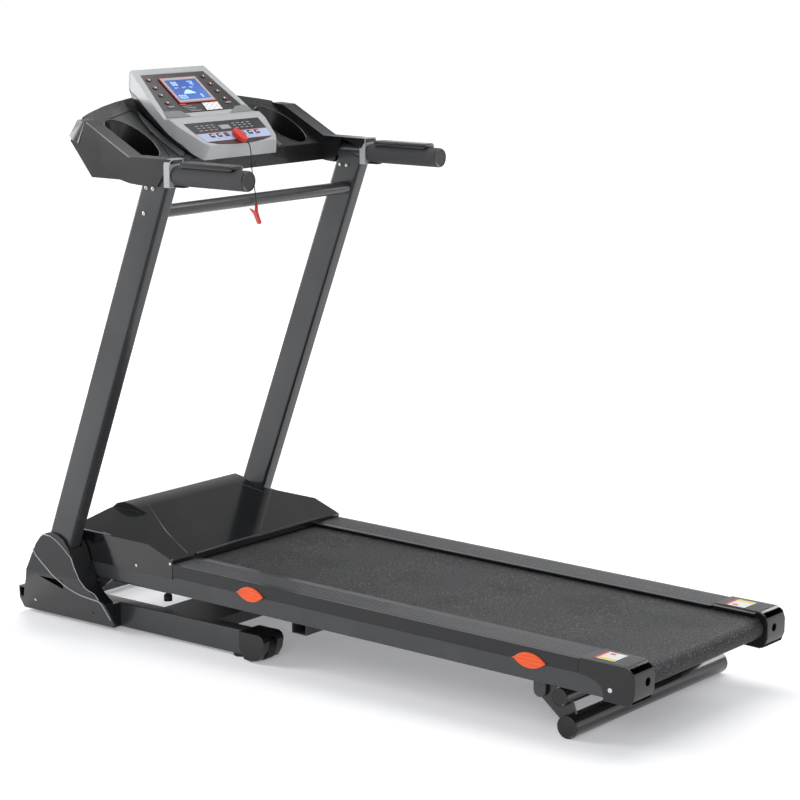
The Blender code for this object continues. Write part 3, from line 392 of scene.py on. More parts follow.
class Finishes:
    """Every finish on the treadmill."""

    UPRIGHT = Finish("charcoal powder coat", (0.024, 0.0255, 0.0275), (0.036, 0.0375, 0.040), 0.32,
                     coat=0.30, grain=Grain.ORANGE_PEEL, scale=520.0, depth=0.00005)
    TUBE = Finish("grey powder coat", (0.033, 0.0345, 0.037), (0.046, 0.048, 0.051), 0.34, coat=0.25,
                  grain=Grain.ORANGE_PEEL, scale=520.0, depth=0.00005)
    LEG = Finish("black gloss paint", (0.012, 0.012, 0.013), (0.022, 0.022, 0.024), 0.20, coat=0.5,
                 grain=Grain.ORANGE_PEEL, scale=420.0, depth=0.00004)
    BLACK = Finish("black moulded plastic", (0.0060, 0.0064, 0.0072), (0.0110, 0.0115, 0.0125), 0.28,
                   coat=0.25)
    COVER = Finish("black satin plastic", (0.0068, 0.0074, 0.0086), (0.0125, 0.0130, 0.0145), 0.33,
                   coat=0.20)
    HOOD = Finish("black gloss plastic", (0.0048, 0.0052, 0.0062), (0.009, 0.0095, 0.011), 0.17, coat=0.6,
                  grain=Grain.POLISHED, scale=180.0, depth=0.00004)
    # EDGE is a painted highlight: the pale colour of beads that stand for light caught along glossy edges of
    # the dash and the hood.
    EDGE = Finish("painted edge highlight", (0.20, 0.205, 0.22), (0.28, 0.29, 0.31), 0.26, metallic=0.35)
    SILVER = Finish("silver grey plastic", (0.36, 0.37, 0.38), (0.29, 0.30, 0.31), 0.36, metallic=0.12)
    SPEAKER = Finish("grey dotted plastic", (0.19, 0.195, 0.20), (0.12, 0.122, 0.126), 0.55,
                     grain=Grain.DOTTED, scale=620.0, depth=0.0004)
    FACE = Finish("graphic overlay", (0.014, 0.0135, 0.0145), (0.022, 0.021, 0.023), 0.30, coat=0.2)
    OVERLAY_BLUE = Finish("pale blue overlay", (0.34, 0.43, 0.62), (0.42, 0.50, 0.68), 0.34)
    OVERLAY_WHITE = Finish("white print", (0.72, 0.73, 0.74), (0.60, 0.61, 0.62), 0.42)
    OVERLAY_RED = Finish("red print", (0.55, 0.035, 0.03), (0.42, 0.03, 0.025), 0.40)
    OVERLAY_PINK = Finish("magenta print", (0.50, 0.04, 0.20), (0.42, 0.05, 0.20), 0.40)
    OVERLAY_YELLOW = Finish("yellow print", (0.80, 0.62, 0.04), (0.70, 0.52, 0.03), 0.45)
    SOFT_GREY = Finish("soft grey print", (0.30, 0.30, 0.31), (0.22, 0.22, 0.23), 0.45)
    RIBS = Finish("ribbed strip", (0.05, 0.052, 0.056), (0.08, 0.082, 0.086), 0.36,
                  grain=Grain.BRUSHED, scale=900.0, depth=0.0003)
    FOAM = Finish("grip foam", (0.045, 0.046, 0.048), (0.062, 0.063, 0.066), 0.80, spread=0.05,
                  grain=Grain.FOAM, scale=900.0, depth=0.0002)
    RUBBER = Finish("black rubber", (0.014, 0.014, 0.014), (0.026, 0.026, 0.025), 0.70, depth=0.00008)
    CHROME = Finish("polished steel", (0.62, 0.63, 0.65), (0.50, 0.51, 0.53), 0.12, spread=0.05,
                    metallic=1.0, grain=Grain.POLISHED, scale=200.0, depth=0.00001)
    ZINC = Finish("zinc plated steel", (0.55, 0.55, 0.56), (0.38, 0.38, 0.38), 0.30, metallic=1.0)
    TURNED = Finish("turned steel", (0.42, 0.42, 0.43), (0.30, 0.30, 0.30), 0.28, metallic=1.0,
                    grain=Grain.BRUSHED, scale=1200.0)
    CAST = Finish("cast aluminium", (0.42, 0.43, 0.44), (0.28, 0.28, 0.29), 0.45, metallic=1.0,
                  scale=700.0, depth=0.0001)
    BELT = BeltFinish("walking belt", (0.0085, 0.009, 0.010), (0.0135, 0.014, 0.0155), 0.62,
                      grain=Grain.WOVEN, scale=150.0, depth=0.00035)
    DRIVE_BELT = Finish("ribbed drive belt", (0.012, 0.012, 0.012), (0.03, 0.03, 0.03), 0.62,
                        grain=Grain.RIBBED, scale=120.0, depth=0.0006)
    BOARD = LaminateFinish("fibre board", (0.13, 0.085, 0.045), (0.20, 0.14, 0.08), 0.55)
    DISPLAY = DisplayFinish("display field", (0.012, 0.035, 0.20), (0.02, 0.06, 0.28), 0.14,
                            coat=0.6, glow=0.6)
    DIGIT = Finish("display segments", (0.30, 0.52, 0.80), (0.36, 0.58, 0.84), 0.35, glow=0.75)
    RED = Finish("red gloss plastic", (0.62, 0.035, 0.025), (0.50, 0.03, 0.02), 0.24, coat=0.4,
                 grain=Grain.POLISHED, scale=300.0)
    ORANGE = Finish("orange plastic", (0.80, 0.105, 0.025), (0.68, 0.085, 0.02), 0.34)
    CORD = Finish("braided cord", (0.012, 0.012, 0.012), (0.04, 0.04, 0.04), 0.70,
                  scale=2600.0, depth=0.0003)
    FLOOR = FloorFinish("pale studio floor", (0.86, 0.86, 0.865), (0.84, 0.84, 0.85), 0.75,
                        grain=Grain.POLISHED, scale=40.0)


# ---------------------------------------------------------------- the bench


class Pick(Enum):
    """What an edit-mode tool acts on."""

    POINTS = "VERT"
    EDGES = "EDGE"
    FACES = "FACE"


def put_down() -> None:
    """Leave edit mode with nothing selected."""
    if bpy.context.object and bpy.context.object.mode != "OBJECT":
        bpy.ops.object.mode_set(mode="OBJECT")
    bpy.ops.object.select_all(action="DESELECT")


def anywhere(*_: object) -> bool:
    """A test that every point, edge or face passes."""
    return True


class Workpiece:
    """One mesh on the bench, shaped with Blender's edit-mode tools."""

    def __init__(self, obj: bpy.types.Object, name: str) -> None:
        """Take up an object.

        Args:
            obj: The object, selected and active.
            name: Its name as a piece.
        """
        self.obj = obj
        self.obj.name = name
        self.obj.data.name = name

    @classmethod
    def block(cls, name: str, low: Point, high: Point) -> "Workpiece":
        """A box between two corners.

        Args:
            name: The piece's name.
            low: Its lowest corner.
            high: Its highest corner.

        Returns:
            The box.
        """
        put_down()
        low, high = Vector(low), Vector(high)
        bpy.ops.mesh.primitive_cube_add(size=1.0, location=(low + high) / 2, scale=high - low)
        return cls(bpy.context.object, name).settle()

    @classmethod
    def rod(cls, name: str, start: Point, end: Point, radius: float, sides: int = 32) -> "Workpiece":
        """A round bar between two points.

        Args:
            name: The piece's name.
            start: The middle of one end.
            end: The middle of the other.
            radius: Its radius.
            sides: How many sides it has.

        Returns:
            The bar.
        """
        put_down()
        start, end = Vector(start), Vector(end)
        turn = (end - start).to_track_quat("Z", "Y").to_euler()
        bpy.ops.mesh.primitive_cylinder_add(
            vertices=sides, radius=radius, depth=(end - start).length, location=(start + end) / 2,
            rotation=turn,
        )
        return cls(bpy.context.object, name).settle()

    @classmethod
    def plate(cls, name: str, outline: Sequence[Flat], thickness: float) -> "Workpiece":
        """A flat plate, from its outline in local X and Y, that stands up along local Z.

        Args:
            name: The piece's name.
            outline: The corners, in order.
            thickness: How thick it is.

        Returns:
            The plate.
        """
        put_down()
        bpy.ops.mesh.primitive_circle_add(vertices=len(outline), fill_type="NGON")
        piece = cls(bpy.context.object, name)
        for vertex, corner in zip(piece.obj.data.vertices, outline):
            vertex.co = (*corner, 0.0)
        piece.pick(Pick.FACES)
        piece.extruded(0, 0, thickness)
        piece.pick(Pick.FACES)
        return piece.tool(bpy.ops.mesh.normals_make_consistent, inside=False)

    @classmethod
    def ring(cls, name: str, radius: float, wire: float) -> "Workpiece":
        """A round ring about local Z.

        Args:
            name: The piece's name.
            radius: From its middle to the wire's middle.
            wire: The wire's radius.

        Returns:
            The ring.
        """
        put_down()
        bpy.ops.mesh.primitive_torus_add(
            major_radius=radius, minor_radius=wire, major_segments=48, minor_segments=12
        )
        return cls(bpy.context.object, name)

    @classmethod
    def bead(cls, name: str, route: Sequence[Point], radius: float) -> "Workpiece":
        """A round bead along a route.

        Args:
            name: The piece's name.
            route: The points that it follows.
            radius: Its radius.

        Returns:
            The bead.
        """
        curve = bent_wire(name, route, radius)
        put_down()
        curve.select_set(True)
        bpy.context.view_layer.objects.active = curve
        bpy.ops.object.convert(target="MESH")
        piece = cls(bpy.context.object, name)
        piece.pick(Pick.POINTS).tool(bpy.ops.mesh.remove_doubles, threshold=1e-6)
        return piece.pick(Pick.FACES).tool(bpy.ops.mesh.normals_make_consistent, inside=False)

    @classmethod
    def from_node(cls, node: str) -> "Workpiece":
        """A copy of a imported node, called NODE_shell, with its triangles joined up again."""
        put_down()
        obj = bpy.data.objects.new(node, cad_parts[node].data.copy())
        obj.data.materials.clear()
        bpy.context.scene.collection.objects.link(obj)
        obj.select_set(True)
        bpy.context.view_layer.objects.active = obj
        piece = cls(obj, f"{node}_shell")
        piece.pick(Pick.POINTS).tool(bpy.ops.mesh.remove_doubles, threshold=2e-5)
        return piece.pick(Pick.FACES).tool(bpy.ops.mesh.dissolve_limited, angle_limit=radians(0.6))

    def take(self) -> None:
        """Select this piece alone."""
        put_down()
        self.obj.select_set(True)
        bpy.context.view_layer.objects.active = self.obj

    def settle(self) -> "Workpiece":
        """Move the object's place into its mesh."""
        self.take()
        bpy.ops.object.transform_apply(location=True, rotation=True, scale=True)
        return self

    def pick(self, kind: Pick, test: Callable[[Vector, Vector], bool] = anywhere) -> "Workpiece":
        """Open edit mode and select by place and normal.

        Args:
            kind: Points, edges or faces.
            test: Called with the middle and the normal of each, or with an edge's direction.

        Returns:
            This piece.
        """
        self.take()
        bpy.ops.object.mode_set(mode="EDIT")
        bpy.ops.mesh.select_mode(type=kind.value)
        bpy.ops.mesh.select_all(action="DESELECT")
        mesh = bmesh.from_edit_mesh(self.obj.data)
        if kind is Pick.FACES:
            for face in mesh.faces:
                face.select = test(face.calc_center_median(), face.normal)
        elif kind is Pick.EDGES:
            for edge in mesh.edges:
                a, b = (v.co for v in edge.verts)
                edge.select = test((a + b) / 2, (b - a).normalized())
        else:
            for point in mesh.verts:
                point.select = test(point.co, point.normal)
        mesh.select_flush_mode()
        bmesh.update_edit_mesh(self.obj.data)
        return self

    def tool(self, operator: Callable[..., set[str]], **settings: object) -> "Workpiece":
        """Use an edit-mode operator on what is selected.

        Args:
            operator: The operator.
            settings: Its settings.

        Returns:
            This piece.
        """
        operator(**settings)
        return self

    def upper(self) -> "Workpiece":
        """Open edit mode and select the faces that look along local Z."""
        return self.pick(Pick.FACES, lambda middle, way: way.z > SQUARE_ON)

    def inset(self, thickness: float, depth: float = 0.0) -> "Workpiece":
        """Inset the selected faces by a width, and raise them by a depth."""
        return self.tool(bpy.ops.mesh.inset, thickness=thickness, depth=depth)

    def extruded(self, *move: float) -> "Workpiece":
        """Extrude the selected faces along a move."""
        return self.tool(bpy.ops.mesh.extrude_region_move, TRANSFORM_OT_translate={"value": move})

    def rounded(self, width: float, segments: int = 3, angle: float = 30.0) -> "Workpiece":
        """Round every edge sharper than an angle, and smooth the rest.

        Args:
            width: The rounding's width.
            segments: How many faces it has.
            angle: In degrees.

        Returns:
            This piece.
        """
        settings = {"width": width, "segments": segments, "limit_method": "ANGLE"}
        self.modifier("BEVEL", **settings, angle_limit=radians(angle), use_clamp_overlap=True)
        return self.smoothed(angle + 12)

    def smoothed(self, angle: float = 40.0) -> "Workpiece":
        """Shade smoothly across edges flatter than an angle, in degrees."""
        self.take()
        bpy.ops.object.shade_smooth_by_angle(angle=radians(angle))
        return self.modifier("WEIGHTED_NORMAL", keep_sharp=True)

    def modifier(self, kind: str, **settings: object) -> "Workpiece":
        """Add a modifier and apply it.

        Args:
            kind: The modifier's type.
            settings: Its settings.

        Returns:
            This piece.
        """
        self.take()
        made = self.obj.modifiers.new(kind.title(), kind)
        for name, setting in settings.items():
            setattr(made, name, setting)
        bpy.ops.object.modifier_apply(modifier=made.name)
        return self

    def place(self, matrix: Matrix) -> "Workpiece":
        """Move the mesh, and keep its faces outwards where the move mirrors it.

        Args:
            matrix: The move.

        Returns:
            This piece.
        """
        put_down()
        self.obj.data.transform(matrix)
        if matrix.determinant() < 0:
            self.obj.data.flip_normals()
        return self

    def joined(self, others: Iterable["Workpiece"]) -> "Workpiece":
        """Join other pieces into this one.

        Args:
            others: The pieces.

        Returns:
            This piece.
        """
        put_down()
        for other in others:
            other.obj.select_set(True)
        self.obj.select_set(True)
        bpy.context.view_layer.objects.active = self.obj
        bpy.ops.object.join()
        return self

    def done(self, body: str, finish: Finish, slot: str, replaces: str = "") -> bpy.types.Object:
        """Dress the piece and fix it to a body.

        Args:
            body: The body that it rides on.
            finish: Its finish.
            slot: The record's material slot.
            replaces: The node that it stands for, if any.

        Returns:
            The finished object.
        """
        put_down()
        self.obj.data.materials.clear()
        self.obj.data.materials.append(finish.material())
        return report(self.obj, body, slot, replaces)


def report(obj: bpy.types.Object, body: str, slot: str, replaces: str = "") -> bpy.types.Object:
    """Fix a finished object to a body and log it.

    Args:
        obj: The object.
        body: The body that it rides on.
        slot: The record's material slot.
        replaces: The node that it stands for, if any.

    Returns:
        The object.
    """
    if replaces:
        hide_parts(replaces)
    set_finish(obj, slot)
    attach(obj, body)
    LOG.info("%s rides on %s", obj.name, body)
    return obj


def bent_wire(name: str, route: Sequence[Point], radius: float) -> bpy.types.Object:
    """A round curve along a route.

    Args:
        name: The curve's name.
        route: The points that it follows.
        radius: Its radius.

    Returns:
        The curve object.
    """
    curve = bpy.data.curves.new(name, "CURVE")
    curve.dimensions = "3D"
    curve.bevel_depth = radius
    curve.bevel_resolution = 3
    curve.use_fill_caps = True
    spline = curve.splines.new("POLY")
    spline.points.add(len(route) - 1)
    for point, place in zip(spline.points, route):
        point.co = (*place, 1.0)
    obj = bpy.data.objects.new(name, curve)
    bpy.context.scene.collection.objects.link(obj)
    return obj


def smooth_route(points: Sequence[Point], steps: int) -> list[Vector]:
    """Points on a smooth curve through a route.

    Args:
        points: The route.
        steps: How many steps there are from each point to the next.

    Returns:
        The points.
    """
    found = []
    last = len(points) - 1
    for i in range(last):
        a, b, c, d = (Vector(points[max(0, min(last, i + k))]) for k in (-1, 0, 1, 2))
        for j in range(steps):
            t = j / steps
            bend = 2 * a - 5 * b + 4 * c - d
            twist = -a + 3 * b - 3 * c + d
            found.append((2 * b + (c - a) * t + bend * t**2 + twist * t**3) / 2)
    return found + [Vector(points[-1])]


def ellipse(half_length: float, half_width: float, sides: int) -> list[Flat]:
    """Corners of an ellipse about the origin."""
    turns = (2 * pi * i / sides for i in range(sides))
    return [(half_length * cos(turn), half_width * sin(turn)) for turn in turns]


def lens(half_length: float, half_height: float, sides: int) -> list[Flat]:
    """Corners of a pointed lens about the origin, from two equal arcs."""
    upper = [-1 + 2 * i / sides for i in range(sides)]
    arch = [(half_length * u, half_height * (1 - abs(u) ** 2.2)) for u in upper]
    return arch + [(-u, -v) for u, v in arch]


def rectangle(x0: float, y0: float, x1: float, y1: float) -> list[Flat]:
    """Corners of a rectangle."""
    return [(x0, y0), (x1, y0), (x1, y1), (x0, y1)]


def sloped(origin: Point, slope: float) -> Matrix:
    """A local frame whose X runs down a slope towards the user and whose Z stands on it.

    Args:
        origin: The frame's origin.
        slope: The fall for each metre along X.

    Returns:
        The frame's matrix.
    """
    return Matrix.Translation(origin) @ Matrix.Rotation(atan(slope), 4, "Y")


def facing(place: Point, normal: Point) -> Matrix:
    """A local frame at a place whose Z is a surface's normal."""
    return Matrix.Translation(place) @ Vector(normal).to_track_quat("Z", "Y").to_matrix().to_4x4()


def upright_section(start: float, sign: float) -> Matrix:
    """Turns an outline given as Z and Y into a section that runs along X from a start."""
    return Matrix(((0, 0, 1, start), (0, sign, 0, 0), (1, 0, 0, 0), (0, 0, 0, 1)))


def screw(name: str, place: Point, normal: Point, radius: float, height: float) -> Workpiece:
    """A domed screw head with a hexagonal recess.

    Args:
        name: The piece's name.
        place: The middle of its seat.
        normal: Which way it faces.
        radius: Its radius.
        height: How far it stands out.

    Returns:
        The screw head.
    """
    head = Workpiece.rod(name, (0, 0, -0.3 * height), (0, 0, height), radius, 24)
    head.upper()
    head.inset(0.22 * radius, 0.18 * height)
    head.inset(0.25 * radius)
    head.extruded(0, 0, -0.55 * height)
    return head.smoothed(35).place(facing(place, normal))


def carry(node: str, body: str, finish: Finish, slot: str, width: float, angle: float = 30.0) -> Workpiece:
    """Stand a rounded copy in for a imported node.

    Args:
        node: The node.
        body: The body that it rides on.
        finish: Its finish.
        slot: The record's material slot.
        width: How wide its rounded edges are.
        angle: Edges sharper than this are rounded, in degrees.

    Returns:
        The copy.
    """
    piece = Workpiece.from_node(node).rounded(width, angle=angle)
    piece.done(body, finish, slot, node)
    return piece


def repaint(node: str, finish: Finish, slot: str) -> None:
    """Give a node that stays as packed its finish.

    Args:
        node: The node.
        finish: Its finish.
        slot: The record's material slot.
    """
    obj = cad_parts[node]
    obj.data.materials.clear()
    obj.data.materials.append(finish.material())
    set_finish(obj, slot)
    LOG.info("%s is repainted", node)


# ---------------------------------------------------------------- studio


@dataclass
class Studio:
    """Camera, floor and soft lights."""

    eye: Point = (3.35614, -4.2214, 1.5869)
    azimuth: float = 38.1223
    elevation: float = 10.8761
    lens: float = 114.48
    sensor: float = 36.0
    floor_half: float = 14.0

    def camera(self) -> None:
        """Make the camera."""
        a, e = radians(self.azimuth), radians(self.elevation)
        back = Vector((sin(a) * cos(e), -cos(a) * cos(e), sin(e)))
        data = bpy.data.cameras.new("studio_camera")
        data.lens = self.lens
        data.sensor_width = self.sensor
        data.clip_end = 60.0
        camera = bpy.data.objects.new("studio_camera", data)
        camera.location = self.eye
        camera.rotation_euler = (-back).to_track_quat("-Z", "Y").to_euler()
        bpy.context.scene.collection.objects.link(camera)
        bpy.context.scene.camera = camera

    def floor(self) -> None:
        """Lay the floor."""
        half = self.floor_half
        put_down()
        bpy.ops.mesh.primitive_plane_add(size=2 * half)
        floor = Workpiece(bpy.context.object, "studio_floor")
        floor.pick(Pick.FACES).tool(bpy.ops.mesh.subdivide, number_cuts=3)
        put_down()
        floor.obj.data.materials.append(Finishes.FLOOR.material())

    def light(self, name: str, place: Point, aim: Point, size: Flat, power: float) -> None:
        """Hang a rectangular soft box.

        Args:
            name: The light's name.
            place: Where it hangs.
            aim: What it points at.
            size: Its width and height.
            power: In watts.
        """
        data = bpy.data.lights.new(name, "AREA")
        data.shape = "RECTANGLE"
        data.size, data.size_y = size
        data.energy = power
        lamp = bpy.data.objects.new(name, data)
        lamp.location = place
        lamp.rotation_euler = (Vector(aim) - Vector(place)).to_track_quat("-Z", "Y").to_euler()
        bpy.context.scene.collection.objects.link(lamp)

    def world(self, horizon: float, zenith: float) -> None:
        """Fill the room with soft light that is brighter at the walls than overhead.

        Args:
            horizon: Brightness at the walls.
            zenith: Brightness overhead.
        """
        world = bpy.data.worlds.new("studio_room")
        world.use_nodes = True
        tree = world.node_tree
        place = tree.nodes.new("ShaderNodeTexCoord")
        split = tree.nodes.new("ShaderNodeSeparateXYZ")
        fade = tree.nodes.new("ShaderNodeMapRange")
        for name, value in (("From Min", 0.12), ("From Max", 0.62), ("To Min", horizon), ("To Max", zenith)):
            fade.inputs[name].default_value = value
        tree.links.new(place.outputs["Generated"], split.inputs[0])
        tree.links.new(split.outputs["Z"], fade.inputs["Value"])
        tree.links.new(fade.outputs[0], tree.nodes["Background"].inputs["Strength"])
        tree.nodes["Background"].inputs["Color"].default_value = (0.98, 0.99, 1.0, 1.0)
        bpy.context.scene.world = world

    def build(self) -> None:
        """Make the whole studio."""
        self.camera()
        self.floor()
        self.light("overhead_box", (-0.4, 1.0, 3.4), (0, 0, 0.3), (3.6, 2.0), 75)
        self.light("left_box", (-3.4, -1.6, 1.9), (-0.3, 0, 0.5), (1.4, 2.6), 90)
        self.light("front_box", (2.4, -4.0, 2.4), (0.1, 0, 0.4), (2.2, 2.0), 55)
        self.light("back_box", (0.6, 4.2, 1.9), (0, 0, 0.4), (3.6, 1.4), 80)
        self.world(1.03, 0.22)
        bpy.context.scene.view_settings.view_transform = "Standard"


# ---------------------------------------------------------------- safety key


@dataclass
class SafetyKey:
    """Red key, its thin cord with a knot, and the spring clip."""

    route: Sequence[Point] = (
        (-0.38836, 0.0005, 1.0868),
        (-0.38386, 0.0012, 1.0842),
        (-0.38006, 0.0022, 1.0765),
        (-0.37786, 0.0032, 1.0600),
        (-0.37636, 0.0028, 1.0380),
        (-0.37386, 0.0005, 1.0290),
        (-0.35936, -0.0120, 1.0100),
        (-0.34386, -0.0250, 0.9894),
        (-0.33486, -0.0313, 0.9667),
        (-0.33336, -0.0317, 0.9563),
    )
    cord_diameter: float = 0.0024
    cord_length: float = 0.155
    knot: Point = (-0.3752, 0.0014, 1.0330)
    body: str = "stop_key"

    def loops(self) -> bpy.types.Object:
        """Tie the knot: two small loops round the cord."""
        wire = 0.0009
        turns = [
            Workpiece.ring("key_knot", 0.0026, wire).place(Matrix.Rotation(radians(70), 4, "X")),
            Workpiece.ring("knot_turn", 0.0030, wire).place(Matrix.Rotation(radians(35), 4, "Y")),
        ]
        bow = [(0.0, 0.0, 0.0), (0.002, 0.004, 0.006), (0.002, 0.010, 0.012), (0.001, 0.0145, 0.008)]
        bow += [(0.0, 0.012, 0.002), (-0.001, 0.006, -0.0015), (0.0, 0.0, 0.0)]
        turns.append(Workpiece.bead("knot_bow", smooth_route(bow, 6), wire))
        knot = turns[0].joined(turns[1:]).smoothed(60)
        return knot.place(Matrix.Translation(self.knot)).done(self.body, Finishes.CORD, "rubber")

    def build(self) -> None:
        """Make the key, cord and clip."""
        for name in ("safety_key", "clip_jaw_fixed"):
            carry(name, self.body, Finishes.RED, "red_plastic", 0.0012)
        carry("clip_jaw_moving", "clip_lever", Finishes.RED, "red_plastic", 0.0008)
        cord = bent_wire("key_cord_line", smooth_route(self.route, 4), self.cord_diameter / 2)
        cord.data.materials.append(Finishes.CORD.material())
        report(cord, self.body, "rubber", "key_cord")
        with_pieces = [self.loops(), "clip_jaw_fixed_shell", "clip_jaw_moving_shell"]


# ---------------------------------------------------------------- frame above the floor


@dataclass
class Uprights:
    """Leaning posts, the crossbar and their bolts."""

    face_y: float = 0.340
    inner_y: float = 0.304
    bolts: Sequence[Flat] = ((-0.36876, 1.0145), (-0.34936, 1.0132), (-0.37726, 0.9593))
    bolt_radius: float = 0.0042
    marker: Flat = (-0.6620, 0.2085)
    marker_radius: float = 0.0062

    def build(self) -> None:
        """Make the posts."""
        for side, sign in SIDES:
            carry(f"upright_{side}", "base", Finishes.UPRIGHT, "frame_paint", 0.006)
            for number, (x, z) in enumerate(self.bolts, 1):
                place = (x, sign * self.face_y, z)
                bolt = screw(f"upright_bolt_{side}_{number}", place, (0, sign, 0), self.bolt_radius, 0.0022)
                bolt.done("base", Finishes.ZINC, "bare_steel")
                nut = self.nut(f"upright_nut_{side}_{number}", (x, sign * self.inner_y, z), -sign)
                nut.done("base", Finishes.ZINC, "bare_steel")
        carry("crossbar", "base", Finishes.UPRIGHT, "frame_paint", 0.002)
        x, z = self.marker
        dot = Workpiece.plate("post_marker", ellipse(self.marker_radius, self.marker_radius, 32), 0.0006)
        dot.upper()
        dot.inset(0.001, 0.0002)
        dot.place(facing((x, -self.face_y + 0.0002, z), (0, -1, 0)))
        dot.done("base", Finishes.RED, "red_plastic")

    def nut(self, name: str, place: Point, sign: float) -> Workpiece:
        """A six-sided nut on a post's inner face.

        Args:
            name: The piece's name.
            place: The middle of its seat.
            sign: Which way along Y it faces.

        Returns:
            The nut.
        """
        nut = Workpiece.rod(name, (0, 0, -0.0005), (0, 0, 0.0035), self.bolt_radius, 6)
        nut.upper()
        nut.inset(0.0012)
        nut.extruded(0, 0, 0.0012)
        return nut.rounded(0.0003, 2).place(facing(place, (0, sign, 0)))


@dataclass
class Handlebars:
    """Foam grips, end plugs and the pulse plates."""

    grip_y: float = 0.324
    grip_z: float = 1.0435
    grip_radius: float = 0.0218
    plug_depth: float = 0.0018
    plate_split: float = 1.0640

    def build(self) -> None:
        """Make both bars."""
        for side, sign in SIDES:
            carry(f"grip_{side}", "base", Finishes.FOAM, "grip_foam", 0.0015)
            self.plug(side, sign)
            self.pulse_plate(side)

    def plug(self, side: str, sign: float) -> None:
        """The cap in the bar's end.

        Args:
            side: left or right.
            sign: The side's sign along Y.
        """
        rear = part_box(f"grip_{side}")[1].x
        y = sign * self.grip_y
        start, end = (rear - 0.004, y, self.grip_z), (rear + self.plug_depth, y, self.grip_z)
        plug = Workpiece.rod(f"grip_plug_{side}", start, end, self.grip_radius - 0.0006, 48)
        plug.pick(Pick.FACES, lambda middle, way: way.x > SQUARE_ON)
        plug.inset(0.0022)
        plug.inset(0.0010, -0.0010)
        plug.rounded(0.0006, 2).done("base", Finishes.BLACK, "black_plastic")

    def pulse_plate(self, side: str) -> None:
        """The two polished contact plates on their black saddle.

        Args:
            side: left or right.
        """
        node = f"pulse_grip_{side}"
        low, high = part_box(node)
        saddle = Workpiece.from_node(node).rounded(0.0020)
        saddle.done("base", Finishes.BLACK, "black_plastic", node)
        y, half = (low.y + high.y) / 2, (high.y - low.y) / 2
        long, middle = (high.x - low.x), (low.x + high.x) / 2
        for number, (start, end) in enumerate(((-0.46, -0.03), (0.03, 0.47)), 1):
            outline = self.wave(start * long, end * long, 0.80 * half)
            plate = Workpiece.plate(f"pulse_plate_{side}_{number}", outline, 0.0030)
            plate.pick(Pick.EDGES, lambda spot, way: spot.z > 0.0029)
            plate.tool(bpy.ops.mesh.bevel, offset=0.0022, segments=4, affect="EDGES")
            plate.smoothed(50).place(Matrix.Translation((middle, y, high.z - 0.0032)))
            plate.done("base", Finishes.CHROME, "chrome")

    def wave(self, start: float, end: float, half: float) -> list[Flat]:
        """A plate's outline, waisted in its middle.

        Args:
            start: Its front end, from the saddle's middle.
            end: Its rear end.
            half: Half its width at the ends.

        Returns:
            The outline.
        """
        count = 14
        shares = [i / count for i in range(count + 1)]
        widths = [half * (0.74 + 0.26 * cos(2 * pi * t)) * min(1, 3 * sin(pi * t) + 0.55) for t in shares]
        edge = [(start + (end - start) * t, width) for t, width in zip(shares, widths)]
        return edge + [(x, -w) for x, w in reversed(edge)]


